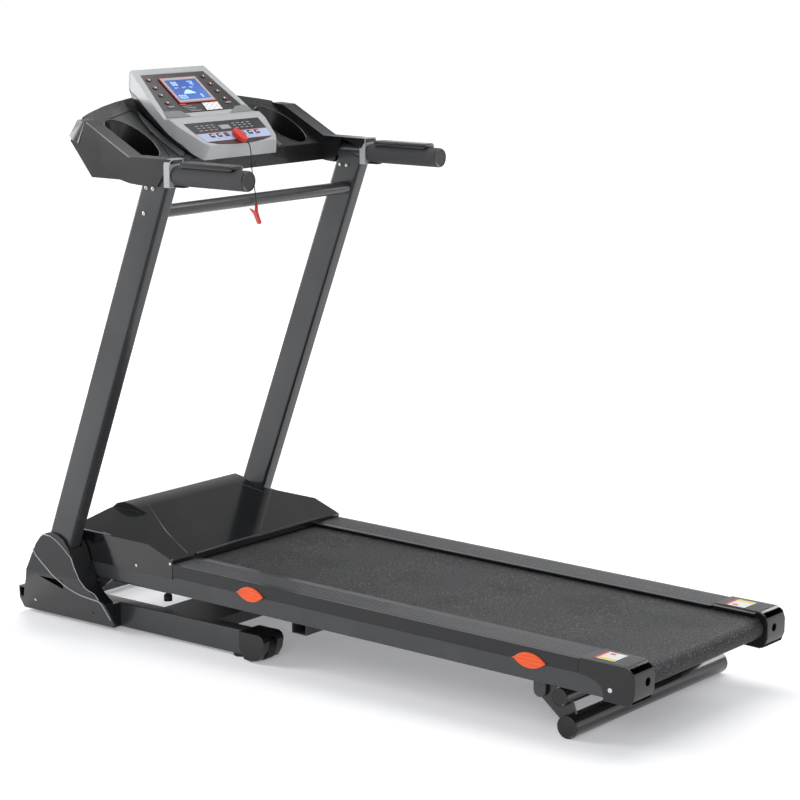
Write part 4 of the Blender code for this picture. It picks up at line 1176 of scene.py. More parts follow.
@dataclass
class Dash:
    """Moulded tray between the posts, with its cup wells and trim."""

    slope: float = 0.561
    origin: Point = (-0.56416, 0.0, 1.1396)
    cup_x: float = -0.50136
    cup_y: float = 0.245
    cup_half_length: float = 0.066
    cup_half_width: float = 0.048
    rim_end: float = -0.436
    lip_sink: float = 0.0010
    collar_x: Flat = (-0.3122, -0.2963)
    collar_z: Flat = (1.0183, 1.0780)
    recess_depth: float = 0.0016
    recess: Sequence[Flat] = (
        (-0.5935, 0.148), (-0.578, 0.143), (-0.434, 0.197), (-0.434, 0.298), (-0.452, 0.300), (-0.566, 0.262),
    )
    # Routes of the two pale edge lines: painted highlights where the arm's top edge catches the light.
    outer_highlight_route: Sequence[Point] = (
        (-0.5400, 0.3436, 1.1427), (-0.4800, 0.3438, 1.1107), (-0.4200, 0.3438, 1.0790),
        (-0.4080, 0.3436, 1.0768), (-0.3560, 0.3428, 1.0762), (-0.3130, 0.3420, 1.0758),
    )
    inner_highlight_route: Sequence[Flat] = ((-0.5580, 0.3170), (-0.5000, 0.3160), (-0.4470, 0.3130))
    strip_sink: float = 0.0006
    strip: Sequence[Flat] = (
        (-0.5840, 0.1395), (-0.5660, 0.1425), (-0.4990, 0.1500), (-0.4380, 0.1462), (-0.4305, 0.1600),
        (-0.4330, 0.1700), (-0.4800, 0.1725), (-0.5200, 0.1700), (-0.5600, 0.1560),
    )
    reflection_corner_points: Sequence[Point] = (
        (-0.57436, 0.3368, 1.1448), (-0.5440, 0.3445, 1.1420),
        (-0.5620, 0.3445, 1.0965), (-0.5985, 0.3352, 1.1120),
    )
    tab_x: Flat = (-0.300, -0.270)
    tab_y: float = 0.324
    tab_half_width: float = 0.008
    tab_z: Flat = (1.0186, 1.0222)

    def top(self, x: float) -> float:
        """Height of the tray's top at a place along X."""
        return self.origin[2] - self.slope * (x - self.origin[0])

    def leaning(self, lift: float) -> Matrix:
        """Shears a flat plate onto the sloping top, at a height over it."""
        shear = Matrix.Identity(4)
        shear[2][0] = -self.slope
        return Matrix.Translation((0, 0, self.top(0.0) + lift)) @ shear

    def lying(self, points: Sequence[Flat], lift: float = 0.0) -> list[Point]:
        """Points on the sloping top, from their X and Y."""
        return [(x, y, self.top(x) + lift) for x, y in points]

    def shell(self) -> None:
        """The tray, with a shallow panel sunk round each cup well."""
        tray = Workpiece.from_node("dash_tray")
        for _, sign in SIDES:
            corners = [(x, sign * y) for x, y in self.recess]
            cutter = Workpiece.plate("panel_cutter", corners, 0.012)
            cutter.place(self.leaning(-self.recess_depth))
            tray.modifier("BOOLEAN", operation="DIFFERENCE", object=cutter.obj, solver="EXACT")
            bpy.data.objects.remove(cutter.obj)
        tray.rounded(0.0022, 3).done("base", Finishes.BLACK, "black_plastic", "dash_tray")

    def trim(self, side: str, sign: float) -> None:
        """The painted-highlight edge lines, corner plate, collar, strip and cup lip of one side.

        Args:
            side: left or right.
            sign: The side's sign along Y.
        """
        # Painted highlights: two pale beads along the arm's top edge.
        outer = [(x, sign * y, z) for x, y, z in self.outer_highlight_route]
        edge = Workpiece.bead(f"dash_edge_highlight_{side}", smooth_route(outer, 5), 0.0014)
        edge.smoothed(60).done("base", Finishes.EDGE, "silver_plastic")
        inner = [(x, sign * y) for x, y in self.inner_highlight_route]
        line = Workpiece.bead(f"dash_highlight_line_{side}", self.lying(inner), 0.0013)
        line.smoothed(60).done("base", Finishes.EDGE, "silver_plastic")
        self.corner(side, sign)
        self.collar(side, sign)
        ribbed = Workpiece.plate(f"ribbed_strip_{side}", [(x, sign * y) for x, y in self.strip], 0.0030)
        ribbed.place(self.leaning(-self.strip_sink))
        ribbed.rounded(0.0008, 2).done("base", Finishes.RIBS, "black_plastic")
        rim = [(self.cup_x + u, sign * self.cup_y + v) for u, v in
               ellipse(self.cup_half_length + 0.0012, self.cup_half_width + 0.0012, 48)]
        front = [p for p in rim if p[0] < self.rim_end]
        lip = Workpiece.bead(f"cup_lip_{side}", self.lying(front, -self.lip_sink), 0.0012)
        lip.smoothed(60).done("base", Finishes.HOOD, "gloss_black")

    def corner(self, side: str, sign: float) -> None:
        """A paler ribbed plate on the tray's front outer corner facet: a painted reflection on that gloss
        facet.

        Args:
            side: left or right.
            sign: The side's sign along Y.
        """
        corners = [Vector((x, sign * y, z)) for x, y, z in self.reflection_corner_points]
        normal = (corners[1] - corners[0]).cross(corners[3] - corners[0]).normalized()
        outwards = normal if normal.y * sign > 0 else -normal
        frame_in = facing(sum(corners, Vector()) / 4, outwards)
        flat = [(frame_in.inverted() @ p).xy for p in corners]
        # Painted reflection: this paler plate stands for light reflected off the corner facet.
        plate = Workpiece.plate(f"dash_corner_reflection_{side}", [tuple(p) for p in flat], 0.0012)
        plate.place(frame_in).rounded(0.0005, 2)
        plate.done("base", Finishes.RIBS, "silver_plastic")

    def collar(self, side: str, sign: float) -> None:
        """The silver band round the arm's rear end, and the black tab behind it.

        Args:
            side: left or right.
            sign: The side's sign along Y.
        """
        (x0, x1), (z0, z1) = self.collar_x, self.collar_z
        inner, outer = 0.3035, 0.3474
        shape = [(z0, inner), (z0, outer - 0.0015), (z0 + 0.0015, outer), (z1 - 0.012, outer)]
        shape += [(z1 - 0.0035, outer - 0.0035), (z1, outer - 0.012), (z1, inner)]
        band = Workpiece.plate(f"arm_collar_{side}", shape, x1 - x0)
        band.place(upright_section(x0, sign))
        band.pick(Pick.FACES, lambda middle, way: way.x > SQUARE_ON)
        band.inset(0.0022)
        band.extruded(-0.002, 0, 0)
        band.rounded(0.0006, 2).done("base", Finishes.SILVER, "silver_plastic")
        middle, half = sign * self.tab_y, self.tab_half_width
        low, high = ((x, middle + way * half, z) for x, z, way in zip(self.tab_x, self.tab_z, (-1, 1)))
        tab = Workpiece.block(f"arm_tab_{side}", low, high)
        tab.rounded(0.0010, 3).done("base", Finishes.BLACK, "black_plastic")

    def build(self) -> None:
        """Make the tray and its trim."""
        self.shell()
        for side, sign in SIDES:
            self.trim(side, sign)


@dataclass
class Console:
    """Silver housing with its overlays, display, keys and buttons."""

    face: Matrix = field(default_factory=lambda: sloped((-0.54536, 0.0, 1.1779), 0.791))
    pad: Matrix = field(default_factory=lambda: sloped((-0.42286, 0.0, 1.10248), 0.667))
    print_height: float = 0.0003
    window: tuple[float, float, float, float] = (-0.0635, -0.0580, 0.0160, 0.0575)
    bar_ends: Sequence[Flat] = ((-0.060, -0.030), (-0.056, -0.020), (-0.052, -0.026), (-0.047, -0.012))
    key_rows: Sequence[float] = (-0.0650, -0.0390, -0.0138, 0.0115)
    speakers: Sequence[tuple[str, Sequence[Flat]]] = (
        ("left", ((0.0389, -0.1297), (0.0600, -0.1362), (0.0600, -0.0595), (0.0400, -0.0791))),
        ("right", ((0.0389, 0.1385), (0.0410, 0.1027), (0.0600, 0.0702), (0.0600, 0.1450))),
    )
    sticker: Sequence[Flat] = ((0.0215, 0.0085), (0.0215, 0.0600), (0.0455, 0.0575), (0.0455, 0.0055))
    key_panel: Sequence[Flat] = (
        (-0.0480, -0.1235), (-0.0470, 0.1225), (-0.0100, 0.1165), (0.0215, 0.1040), (0.0300, 0.0700),
        (0.0345, 0.0250), (0.0345, -0.0300), (0.0300, -0.0800), (0.0205, -0.1060), (-0.0095, -0.1180),
    )
    key_strip: Sequence[Flat] = ((-0.0085, -0.1175), (-0.0085, 0.1155), (0.0185, 0.1050), (0.0185, -0.1065))

    def printed(self, name: str, place: Matrix, outlines: Sequence[Sequence[Flat]], lift: float,
                finish: Finish, slot: str, height: float | None = None) -> None:
        """Raise flat shapes a little from a face.

        Args:
            name: The piece's name.
            place: The face's frame.
            outlines: The shapes.
            lift: How far their undersides are from the face.
            finish: Their finish.
            slot: The record's material slot.
            height: How thick they are.
        """
        thick = self.print_height if height is None else height
        shapes = [Workpiece.plate(name if not i else "mark", o, thick) for i, o in enumerate(outlines)]
        piece = shapes[0].joined(shapes[1:]) if len(shapes) > 1 else shapes[0]
        piece.place(place @ Matrix.Translation((0, 0, lift))).done("base", finish, slot)

    def shells(self) -> None:
        """The housing, its back and the upper overlay."""
        carry("console_housing", "base", Finishes.SILVER, "silver_plastic", 0.0035)
        carry("console_back_cover", "base", Finishes.BLACK, "black_plastic", 0.0030)
        carry("console_faceplate", "base", Finishes.FACE, "gloss_black", 0.0006)

    def screen(self) -> None:
        """The display: bezel, red line, lit field and its segments."""
        x0, y0, x1, y1 = self.window
        red = Workpiece.plate("bezel_line", rectangle(x0 - 0.002, y0 - 0.002, x1 + 0.002, y1 + 0.002), 0.0016)
        red.upper()
        red.inset(0.0018).tool(bpy.ops.mesh.delete, type="FACE")
        put_down()
        red.modifier("SOLIDIFY", thickness=0.0003)
        red.place(self.face @ Matrix.Translation((0, 0, 0.0004)))
        red.done("base", Finishes.OVERLAY_RED, "red_plastic")
        bezel = Workpiece.plate("display_bezel", rectangle(x0, y0, x1, y1), 0.0030)
        bezel.upper()
        bezel.inset(0.0070)
        bezel.extruded(0, 0, -0.0018)
        bezel.rounded(0.0007, 3).place(self.face)
        bezel.done("base", Finishes.SILVER, "silver_plastic")
        margin = 0.0072
        field_outline = rectangle(x0 + margin, y0 + margin, x1 - margin, y1 - margin)
        self.printed("display_field", self.face, [field_outline], 0.0012, Finishes.DISPLAY, "display_lens",
                     0.0004)
        repaint("display", Finishes.DISPLAY, "display_lens")
        marks: list[list[Flat]] = []
        for digits, x, y, size in (("88", -0.0510, -0.0340, 0.0125), ("72", -0.0510, 0.0180, 0.0125),
                                   ("000", -0.0075, -0.0440, 0.0120), ("8", -0.0075, 0.0270, 0.0110)):
            marks += self.digits(digits, x, y, size)
        for step in range(10):
            y = -0.020 + 0.0038 * step
            height = 0.002 + 0.011 * sin(pi * (step + 0.5) / 10)
            marks.append(rectangle(-0.0105 - height, y, -0.0105, y + 0.0030))
        for y in (-0.036, -0.012, 0.012):
            marks.append(rectangle(-0.0325, y, -0.0318, y + 0.014))
            marks.append(rectangle(-0.0300, y, -0.0293, y + 0.009))
        self.printed("display_marks", self.face, marks, 0.0016, Finishes.DIGIT, "display_lens", 0.0002)

    def digits(self, text: str, x: float, y: float, size: float) -> list[list[Flat]]:
        """Seven-segment digits whose tops are at x and whose left edge is at y.

        Args:
            text: The digits.
            x: Their top edge.
            y: Their left edge.
            size: How tall they are.

        Returns:
            One outline for each lit segment.
        """
        lit = {"0": "abcdef", "2": "abged", "7": "abc", "8": "abcdefg"}
        wide, bar = 0.52 * size, 0.13 * size
        half = size / 2
        segments = {
            "a": (0, 0, bar, wide), "d": (size - bar, 0, size, wide),
            "g": (half - bar / 2, 0, half + bar / 2, wide),
            "f": (0, 0, half, bar), "b": (0, wide - bar, half, wide),
            "e": (half, 0, size, bar), "c": (half, wide - bar, size, wide),
        }
        found = []
        for place, digit in enumerate(text):
            left = y + place * 1.45 * wide
            for name in lit[digit]:
                x0, y0, x1, y1 = segments[name]
                found.append(rectangle(x + x0, left + y0, x + x1, left + y1))
        return found

    def side_keys(self) -> None:
        """Two columns of four small keys, each with a red arc and a pale mark."""
        arcs: list[list[Flat]] = []
        marks: list[list[Flat]] = []
        domes: list[Workpiece] = []
        for sign in (-1, 1):
            for number, x in enumerate(self.key_rows):
                y = sign * (0.0885 + 0.0016 * number)
                outer = [(x + 0.0062 * cos(t), y + 0.0075 * sin(t)) for t in
                         (pi * (0.10 + 0.08 * i) + (pi if sign < 0 else 0) for i in range(9))]
                inner = [(x + (u - x) * 0.84, y + (v - y) * 0.84) for u, v in reversed(outer)]
                arcs.append(outer + inner)
                marks.append(rectangle(x - 0.0022, y - 0.0016, x + 0.0022, y + 0.0016))
                dome = Workpiece.plate("side_keys", ellipse(0.0055, 0.0068, 20), 0.0008)
                dome.upper()
                dome.inset(0.0012, 0.0003)
                domes.append(dome.place(Matrix.Translation((x, y, 0))))
        keys = domes[0].joined(domes[1:]).smoothed(50)
        keys.place(self.face).done("base", Finishes.FACE, "gloss_black")
        self.printed("key_arcs", self.face, arcs, 0.0008, Finishes.OVERLAY_RED, "red_plastic")
        self.printed("key_marks", self.face, marks, 0.0009, Finishes.OVERLAY_WHITE, "silver_plastic")

    def face_print(self) -> None:
        """Generic bars, the small sticker and the speaker panels under the display."""
        lift = 0.0004
        self.printed("face_tag", self.face, [rectangle(0.0195, -0.0625, 0.0240, -0.0440)], lift,
                     Finishes.OVERLAY_RED, "red_plastic")
        bars = [rectangle(0.0270 + 0.0052 * i, start, 0.0288 + 0.0052 * i, end)
                for i, (start, end) in enumerate(self.bar_ends)]
        bars += [rectangle(0.0240, s * 0.094 - 0.009, 0.0275, s * 0.094 + 0.009) for s in (-1, 1)]
        self.printed("face_bars", self.face, bars, lift, Finishes.SOFT_GREY, "silver_plastic")
        self.printed("face_sticker", self.face, [self.sticker], lift, Finishes.OVERLAY_WHITE,
                     "silver_plastic", 0.0004)
        dots = [[(0.0245 + 0.0046 * row + 0.0014 * cos(t), 0.0120 + 0.0088 * col + 0.0014 * sin(t))
                 for t in (2 * pi * i / 10 for i in range(10))]
                for row in range(5) for col in range(6) if (row + col) % 2 == 0]
        self.printed("sticker_dots", self.face, dots, lift + 0.0004, Finishes.OVERLAY_PINK, "red_plastic",
                     0.0002)
        for side, outline in self.speakers:
            self.printed(f"speaker_{side}", self.face, [outline], lift, Finishes.SPEAKER,
                         "silver_plastic", 0.0006)

    def keypad(self) -> None:
        """The lower overlay: black panel, blue strip, red lines and pale marks."""
        lift = 0.0003
        self.printed("keypad_panel", self.pad, [self.key_panel], 0.0, Finishes.FACE, "gloss_black", lift)
        self.printed("keypad_strip", self.pad, [self.key_strip], lift, Finishes.OVERLAY_BLUE,
                     "silver_plastic", 0.0001)
        lines = [rectangle(-0.0100, -0.1178, -0.0086, 0.1160), rectangle(0.0187, -0.1060, 0.0200, 0.1045)]
        lines.append(rectangle(0.0260, -0.0200, 0.0278, 0.0160))
        self.printed("keypad_lines", self.pad, lines, lift, Finishes.OVERLAY_RED, "red_plastic")
        marks = [rectangle(-0.0330, -0.0240, -0.0190, 0.0080)]
        for row in (-0.0365, -0.0290, -0.0205):
            for column in range(4):
                for sign in (-1, 1):
                    y = sign * (0.034 + 0.0165 * column) - 0.008
                    marks.append(rectangle(row, y - 0.0048, row + 0.0022, y + 0.0048))
        marks += [rectangle(0.0105, y - 0.004, 0.0120, y + 0.004) for y in (-0.0625, -0.0385, 0.0385, 0.0625)]
        self.printed("keypad_marks", self.pad, marks, lift, Finishes.SOFT_GREY, "silver_plastic")

    def buttons(self) -> None:
        """The six square buttons, each with a small mark."""
        for number in range(1, 7):
            node, body = f"console_button_{number}", f"button_{number}"
            key = carry(node, body, Finishes.FACE, "gloss_black", 0.0010)
            low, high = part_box(node)
            middle = (low + high) / 2
            finish = Finishes.OVERLAY_RED if number == 3 else Finishes.OVERLAY_WHITE
            outline = rectangle(-0.0022, -0.0024, 0.0022, 0.0024)
            mark = Workpiece.plate(f"button_mark_{number}", outline, self.print_height)
            mark.upper()
            mark.inset(0.0006, 0.0001)
            normal = (self.pad.to_3x3() @ Vector((0, 0, 1))).normalized()
            top = max((v.co - middle).dot(normal) for v in key.obj.data.vertices)
            place = Matrix.Translation(middle + normal * (top - 0.0001)) @ self.pad.to_3x3().to_4x4()
            mark.place(place).done(body, finish, "silver_plastic")

    def build(self) -> None:
        """Make the console."""
        self.shells()
        self.screen()
        self.side_keys()
        self.face_print()
        self.keypad()
        self.buttons()


# ---------------------------------------------------------------- base


@dataclass
class BaseFrame:
    """Floor frame, fold covers, end caps and bumpers."""

    housing_ys: Flat = (0.2165, 0.2755)
    cover_drop: float = 0.0018
    cover_break: float = 0.125
    upper_ridge_highlight: Sequence[Flat] = (
        (-0.7057, 0.2122), (-0.6801, 0.2110), (-0.6522, 0.1975), (-0.6248, 0.1770), (-0.6165, 0.1700),
        (-0.6088, 0.1523), (-0.5929, 0.1241), (-0.5826, 0.1029), (-0.5635, 0.0930), (-0.5581, 0.0790),
    )
    lower_ridge_highlight: Sequence[Flat] = (
        (-0.7388, 0.1740), (-0.7278, 0.1602), (-0.7055, 0.1430), (-0.6833, 0.1269), (-0.6638, 0.1087),
        (-0.6441, 0.0937), (-0.6166, 0.0825), (-0.5831, 0.0772), (-0.5576, 0.0728), (-0.5515, 0.0520),
        (-0.5480, 0.0280),
    )
    cover_screws: Sequence[Flat] = ((-0.7813, 0.0385), (-0.5988, 0.0370))
    bumper_x: float = -0.4559
    bumper_y: float = 0.205
    bumper_top: float = 0.0700

    def face_y(self, z: float) -> float:
        """How far out the cover's face is at a height."""
        if z > self.cover_break:
            return 0.348 - self.cover_drop
        return 0.282 + 0.0665 * z / self.cover_break - self.cover_drop

    def on_cover(self, sign: float, line: Sequence[Flat], out: float) -> list[Point]:
        """A line laid on the cover's face, from its X and Z."""
        return [(p.x, sign * (self.face_y(p.z) + out), p.z) for p in
                smooth_route([(x, 0.0, z) for x, z in line], 5)]

    def cover(self, side: str, sign: float) -> None:
        """One fold cover with its bright ridge lines, whose pale colour is a painted highlight along the
        ridges, and screws.

        Args:
            side: left or right.
            sign: The side's sign along Y.
        """
        node = f"base_cover_{side}"
        shell = Workpiece.from_node(node)
        put_down()
        for vertex in shell.obj.data.vertices:
            if abs(vertex.co.y) > self.face_y(vertex.co.z) - 0.002:
                vertex.co.y -= sign * self.cover_drop
        shell.rounded(0.0030).done("base", Finishes.COVER, "black_plastic", node)
        # Painted highlight: silver beads stand for light caught along the cover's ridges.
        for name, line, radius in (("thin", self.upper_ridge_highlight, 0.0011), ("wide", self.lower_ridge_highlight, 0.0016)):
            bead = Workpiece.bead(f"cover_{name}_line_{side}", self.on_cover(sign, line, 0.0002), radius)
            bead.smoothed(60).done("base", Finishes.SILVER, "silver_plastic")
        for number, (x, z) in enumerate(self.cover_screws, 1):
            place = (x, sign * self.face_y(z), z)
            head = screw(f"cover_screw_{side}_{number}", place, (0, sign, -0.45), 0.0034, 0.0012)
            head.done("base", Finishes.CHROME if number == 1 else Finishes.LEG, "bare_steel")

    def end_cap_ribs(self, side: str, sign: float) -> None:
        """Grip ribs across the top of a wheel housing.

        Args:
            side: left or right.
            sign: The side's sign along Y.
        """
        ribs = []
        for number in range(5):
            x = -0.1700 + 0.0085 * number
            z = 0.0645 if number < 4 else 0.0640
            start, end = ((x, sign * y, z - 0.0006) for y in self.housing_ys)
            ribs.append(Workpiece.rod("rib", start, end, 0.0014, 12))
        whole = ribs[0].joined(ribs[1:])
        whole.obj.name = f"housing_ribs_{side}"
        whole.smoothed(60).done("base", Finishes.BLACK, "black_plastic")

    def bumper(self, side: str, sign: float) -> None:
        """Rubber bumper that the deck rests on.

        Args:
            side: left or right.
            sign: The side's sign along Y.
        """
        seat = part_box("base_rear_cross_tube")[1].z
        y = sign * self.bumper_y
        low, high = ((self.bumper_x, y, z) for z in (seat - 0.0004, self.bumper_top))
        stud = Workpiece.rod(f"bumper_{side}", low, high, 0.0095)
        stud.upper()
        stud.inset(0.0016, 0.0018)
        stud.extruded(0, 0, 0.0012)
        stud.rounded(0.0008, 2).done("base", Finishes.RUBBER, "rubber")

    def build(self) -> None:
        """Make the base."""
        for side, sign in SIDES:
            carry(f"base_side_tube_{side}", "base", Finishes.TUBE, "frame_paint", 0.0035)
            self.cover(side, sign)
            carry(f"base_end_cap_{side}", "base", Finishes.BLACK, "black_plastic", 0.0025)
            self.end_cap_ribs(side, sign)
            self.bumper(side, sign)
            carry(f"pivot_bracket_{side}", "base", Finishes.TUBE, "frame_paint", 0.0010)
        carry("base_front_cross_tube", "base", Finishes.TUBE, "frame_paint", 0.0030)
        carry("base_rear_cross_tube", "base", Finishes.TUBE, "frame_paint", 0.0020)


# ---------------------------------------------------------------- deck


@dataclass
class Deck:
    """Tubes, rails, walking belt, rear caps and trim of the folding deck."""

    pivot: Point = (-0.60586, 0.0, 0.108)
    tilt: float = 0.83
    rail_front: float = 0.2405
    rail_rear: float = 1.3105
    rail_top: float = 0.0800
    rib_gap: float = 0.004
    cap_ribs_x: Flat = (1.3850, 1.4200)
    cap_top: float = 0.0834
    cap_screw: Point = (1.3870, 0.2870, 0.0320)
    label: Point = (1.3580, 0.2440, 0.0837)
    rib_inner: float = 0.2160
    rib_outer: float = 0.2780
    rib_count: int = 8
    clips: Sequence[Flat] = ((0.467, 0.037), (1.196, 0.039))
    clip_half_height: float = 0.0160
    clip_z: float = 0.0535

    def frame(self) -> Matrix:
        """The deck's own frame: X along the deck and Z up from it."""
        return Matrix.Translation(self.pivot) @ Matrix.Rotation(radians(self.tilt), 4, "Y")

    def ribs(self, name: str, sign: float, start: float, end: float, low: float, height: float) -> None:
        """Lengthwise ribs on a flat top.

        Args:
            name: The piece's name.
            sign: The side's sign along Y.
            start: Where they start along the deck.
            end: Where they end.
            low: The height of the top that they stand on.
            height: How high they are.
        """
        step = (self.rib_outer - self.rib_inner) / self.rib_count
        profile = []
        for number in range(self.rib_count):
            y = self.rib_inner + step * number
            profile += [(low, y), (low + height, y + 0.22 * step)]
            profile += [(low + height, y + 0.62 * step), (low, y + 0.84 * step)]
        profile += [(low - 0.0008, self.rib_outer), (low - 0.0008, self.rib_inner)]
        ribs = Workpiece.plate(name, profile, end - start)
        ribs.place(self.frame() @ upright_section(start, sign)).smoothed(20)
        ribs.done("deck", Finishes.RIBS, "black_plastic")

    def side_clip(self, side: str, sign: float, number: int, x: float, half: float) -> None:
        """A fluted orange clip on the rail's side.

        Args:
            side: left or right.
            sign: The side's sign along Y.
            number: Its number along the deck.
            x: Its middle along the deck.
            half: Half its length.
        """
        clip = Workpiece.plate(f"rail_clip_{side}_{number}", lens(half, self.clip_half_height, 18), 0.0034)
        clip.pick(Pick.EDGES, lambda middle, way: middle.z > 0.0033)
        clip.tool(bpy.ops.mesh.bevel, offset=0.0022, segments=4, affect="EDGES")
        clip.smoothed(50)
        flutes = []
        for level in (-0.5, 0.0, 0.5):
            reach = half * (1 - abs(level)) * 0.9 + half * 0.12
            v = level * self.clip_half_height
            flute = Workpiece.rod("flute", (-reach, v, 0.0032), (reach, v, 0.0032), 0.0011, 10)
            flutes.append(flute)
        clip.joined(flutes)
        upright = Matrix(((1, 0, 0, x), (0, 0, sign, sign * 0.2858), (0, 1, 0, self.clip_z), (0, 0, 0, 1)))
        clip.place(self.frame() @ upright).done("deck", Finishes.ORANGE, "red_plastic")

    def caution_label(self, side: str, sign: float) -> None:
        """A generic coloured label with no words on the rear cap.

        Args:
            side: left or right.
            sign: The side's sign along Y.
        """
        along, across, top = self.label
        place = self.frame() @ Matrix.Translation((along, sign * across, top))
        for name, outline, lift, finish in (
            ("card", rectangle(-0.0240, -0.0250, 0.0240, 0.0250), 0.0, Finishes.OVERLAY_WHITE),
            ("red", rectangle(-0.0240, -0.0250, -0.0180, 0.0250), 0.0003, Finishes.OVERLAY_RED),
            ("mark", rectangle(-0.0100, -0.0180, 0.0020, -0.0110), 0.0003, Finishes.OVERLAY_RED),
            ("yellow", rectangle(-0.0160, 0.0130, 0.0220, 0.0235), 0.0003, Finishes.OVERLAY_YELLOW),
        ):
            outline = [(x, y * sign) for x, y in outline]
            part = Workpiece.plate(f"cap_label_{name}_{side}", outline, 0.0003)
            part.place(place @ Matrix.Translation((0, 0, lift))).done("deck", finish, "silver_plastic")

    def build(self) -> None:
        """Make the deck."""
        for side, sign in SIDES:
            carry(f"deck_side_tube_{side}", "deck", Finishes.TUBE, "frame_paint", 0.0030)
            carry(f"side_rail_{side}", "deck", Finishes.COVER, "black_plastic", 0.0022)
            start, end = self.rail_front + self.rib_gap, self.rail_rear
            self.ribs(f"rail_ribs_{side}", sign, start, end, self.rail_top, 0.0009)
            carry(f"rear_cap_{side}", "deck", Finishes.BLACK, "black_plastic", 0.0065)
            self.ribs(f"cap_ribs_{side}", sign, *self.cap_ribs_x, self.cap_top, 0.0008)
            self.caution_label(side, sign)
            for number, (x, half) in enumerate(self.clips, 1):
                self.side_clip(side, sign, number, x, half)
            x, y, z = self.cap_screw
            place = self.frame() @ Vector((x, sign * y, z))
            head = screw(f"cap_screw_{side}", place, (0, sign, 0), 0.0048, 0.0018)
            head.done("deck", Finishes.CHROME, "bare_steel")
        carry("deck_cross_tube", "deck", Finishes.TUBE, "frame_paint", 0.0020)
        repaint("deck_board", Finishes.BOARD, "deck_board")
        belt = Workpiece.from_node("running_belt").smoothed(40)
        belt.done("deck", Finishes.BELT, "belt", "running_belt")


@dataclass
class Hood:
    """Gloss cover over the motor, with its lip, painted-highlight edge bands, seams and screws."""

    profile: Sequence[Flat] = (
        (-0.0800, 0.0850), (-0.0730, 0.1080), (-0.0600, 0.1260), (-0.0440, 0.1440), (-0.0240, 0.1580),
        (0.0000, 0.1654), (0.0260, 0.1618), (0.0450, 0.1548), (0.2400, 0.0880),
    )
    half_width: float = 0.2865
    seam_sink: float = 0.0003
    seam_route: Sequence[Flat] = ((-0.0002, 0.129), (0.1360, 0.197), (0.2290, 0.225))
    screws: Sequence[Flat] = ((-0.4730, 0.1655), (-0.3700, 0.1850))
    lip_x: float = 0.2390
    lip_z: float = 0.0885
    lip_bow: float = 0.0060
    lip_half: float = 0.21
    lip_ys: Sequence[float] = (-0.21, -0.14, -0.07, 0.0, 0.07, 0.14, 0.21)
    highlight_inset: float = 0.0040
    highlight_sink: float = 0.0026
    highlight_radius: float = 0.0034
    deck: Deck = field(default_factory=Deck)

    def height(self, x: float) -> float:
        """The hood's top above the deck's line, at a place along it."""
        for (x0, z0), (x1, z1) in zip(self.profile, self.profile[1:]):
            if x <= x1:
                return z0 + (z1 - z0) * (x - x0) / (x1 - x0)
        return self.profile[-1][1]

    def seam(self, name: str, route: Sequence[Flat], radius: float) -> None:
        """A moulded line on the hood's top.

        Args:
            name: The piece's name.
            route: Its points in the deck's frame, from above.
            radius: Its radius.
        """
        flat = smooth_route([(x, y, 0) for x, y in route], 8)
        points = [(p.x, p.y, self.height(p.x) - self.seam_sink) for p in flat]
        seam = Workpiece.bead(name, points, radius)
        seam.place(self.deck.frame()).smoothed(60).done("deck", Finishes.HOOD, "gloss_black")

    def surface(self, shell: Workpiece, x: float, y: float, sink: float) -> Point:
        """A point just under the hood's top.

        Args:
            shell: The hood.
            x: Its place along the deck.
            y: Its place across the deck.
            sink: How far under the surface it is.

        Returns:
            The point in the deck's frame.
        """
        place = self.deck.frame()
        start = place @ Vector((min(x, self.profile[-1][0] - 0.002), y, 0.25))
        found, hit, _, _ = shell.obj.ray_cast(start, place.to_3x3() @ Vector((0, 0, -1)))
        point = place.inverted() @ hit if found else Vector((x, y, self.height(x)))
        return point.x, point.y, point.z - sink

    def edge(self, shell: Workpiece, side: str, sign: float) -> None:
        """The pale band along the corner between the hood's top and its cheek: a painted highlight where the
        rounded corner catches the light.

        Args:
            shell: The hood.
            side: left or right.
            sign: The side's sign along Y.
        """
        y = sign * (self.half_width - self.highlight_inset)
        route = [self.surface(shell, x, y, self.highlight_sink) for x, _ in self.profile[3:]]
        # Painted highlight: a pale bead along the gloss hood's rounded corner.
        band = Workpiece.bead(f"hood_edge_highlight_{side}", smooth_route(route, 6), self.highlight_radius)
        band.place(self.deck.frame()).smoothed(60).done("deck", Finishes.EDGE, "gloss_black")

    def build(self) -> None:
        """Make the hood."""
        shell = carry("motor_hood", "deck", Finishes.HOOD, "gloss_black", 0.0035, 24)
        bpy.context.view_layer.update()
        for side, sign in SIDES:
            self.edge(shell, side, sign)
            self.seam(f"hood_seam_{side}", [(x, sign * y) for x, y in self.seam_route], 0.0009)
            for number, (x, z) in enumerate(self.screws, 1):
                place = (x, sign * self.half_width, z)
                head = screw(f"hood_screw_{side}_{number}", place, (0, sign, 0), 0.0032, 0.0012)
                head.done("deck", Finishes.CHROME, "bare_steel")
        half = self.lip_half
        bow = [(self.lip_x - self.lip_bow * (1 - (y / half) ** 2), y, self.lip_z) for y in self.lip_ys]
        lip = Workpiece.bead("hood_lip", smooth_route(bow, 5), 0.0028)
        lip.place(self.deck.frame()).smoothed(60).done("deck", Finishes.COVER, "black_plastic")


# ---------------------------------------------------------------- leg, wheels and drive


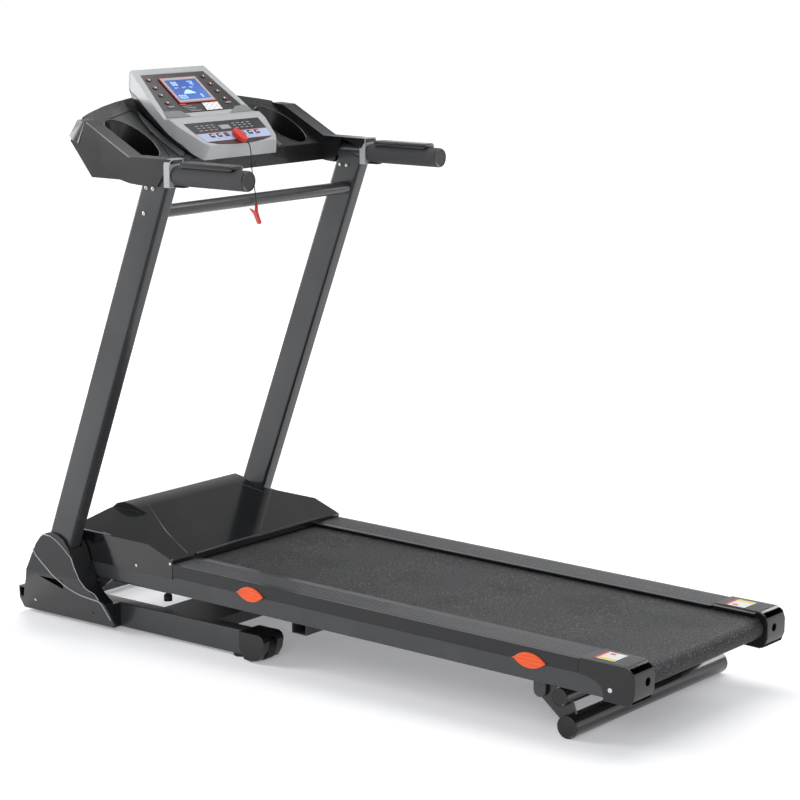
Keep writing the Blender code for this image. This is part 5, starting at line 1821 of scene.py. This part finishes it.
@dataclass
class Leg:
    """Rear leg with its two cross tubes, end caps and pivot bolts."""

    foot: tuple[float, float, float] = (0.67914, 0.0236, 0.0236)
    stop: tuple[float, float, float] = (0.65974, 0.0805, 0.0195)
    half_width: float = 0.280
    pivot: Flat = (0.60394, 0.0821)

    def end_cap(self, name: str, tube: tuple[float, float, float], sign: float) -> None:
        """A ribbed plastic plug in a tube's end.

        Args:
            name: The piece's name.
            tube: The tube's X, Z and radius.
            sign: The side's sign along Y.
        """
        x, z, radius = tube
        start, end = (x, sign * (self.half_width - 0.0060), z), (x, sign * (self.half_width + 0.0030), z)
        cap = Workpiece.rod(name, start, end, radius - 0.0001, 40)
        cap.pick(Pick.FACES, lambda middle, way: way.y * sign > SQUARE_ON)
        cap.inset(0.0026)
        cap.inset(0.0012, -0.0010)
        cap.rounded(0.0007, 2).done("leg", Finishes.BLACK, "black_plastic")

    def build(self) -> None:
        """Make the leg."""
        carry("incline_leg", "leg", Finishes.LEG, "frame_paint", 0.0012)
        for side, sign in SIDES:
            self.end_cap(f"foot_cap_{side}", self.foot, sign)
            self.end_cap(f"stop_cap_{side}", self.stop, sign)
            x, z = self.pivot
            bolt = screw(f"leg_bolt_{side}", (x, sign * 0.2615, z), (0, sign, 0), 0.0060, 0.0030)
            bolt.done("leg", Finishes.ZINC, "bare_steel")


@dataclass
class Workings:
    """Everything that stays as packed and only takes its finish."""

    finishes: dict[str, tuple[Finish, str]] = field(
        default_factory=lambda: {
            "base_foot": (Finishes.RUBBER, "rubber"),
            "wheel": (Finishes.RUBBER, "rubber"),
            "drive_belt": (Finishes.DRIVE_BELT, "belt"),
            "front_roller": (Finishes.TURNED, "bare_steel"),
            "rear_roller": (Finishes.TURNED, "bare_steel"),
            "motor_shaft": (Finishes.TURNED, "bare_steel"),
            "motor_controller": (Finishes.CAST, "cast_aluminium"),
            "motor": (Finishes.CAST, "cast_aluminium"),
            "strut_rod": (Finishes.CHROME, "chrome"),
            "strut": (Finishes.LEG, "frame_paint"),
            "power_inlet": (Finishes.BLACK, "black_plastic"),
            "power_switch": (Finishes.RED, "red_plastic"),
            "belly_pan": (Finishes.BLACK, "black_plastic"),
        }
    )

    def build(self) -> None:
        """Dress each shown node by the start of its name."""
        for node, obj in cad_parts.items():
            if obj.hide_render or "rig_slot" in obj:
                continue
            starts = [start for start in self.finishes if start in node]
            finish, slot = self.finishes[starts[0]] if starts else (Finishes.BLACK, "black_plastic")
            if not starts:
                LOG.warning("%s has no finish of its own", node)
            repaint(node, finish, slot)


def main() -> None:
    """Build the studio and the treadmill, part by part."""
    logging.basicConfig(level=logging.INFO, format="%(message)s")
    above = (Studio(), SafetyKey(), Uprights(), Handlebars(), Dash(), Console())
    for assembly in (*above, BaseFrame(), Deck(), Hood(), Leg(), Workings()):
        LOG.info("== %s", type(assembly).__name__)
        assembly.build()
    put_down()


if __name__ == "__main__":
    main()
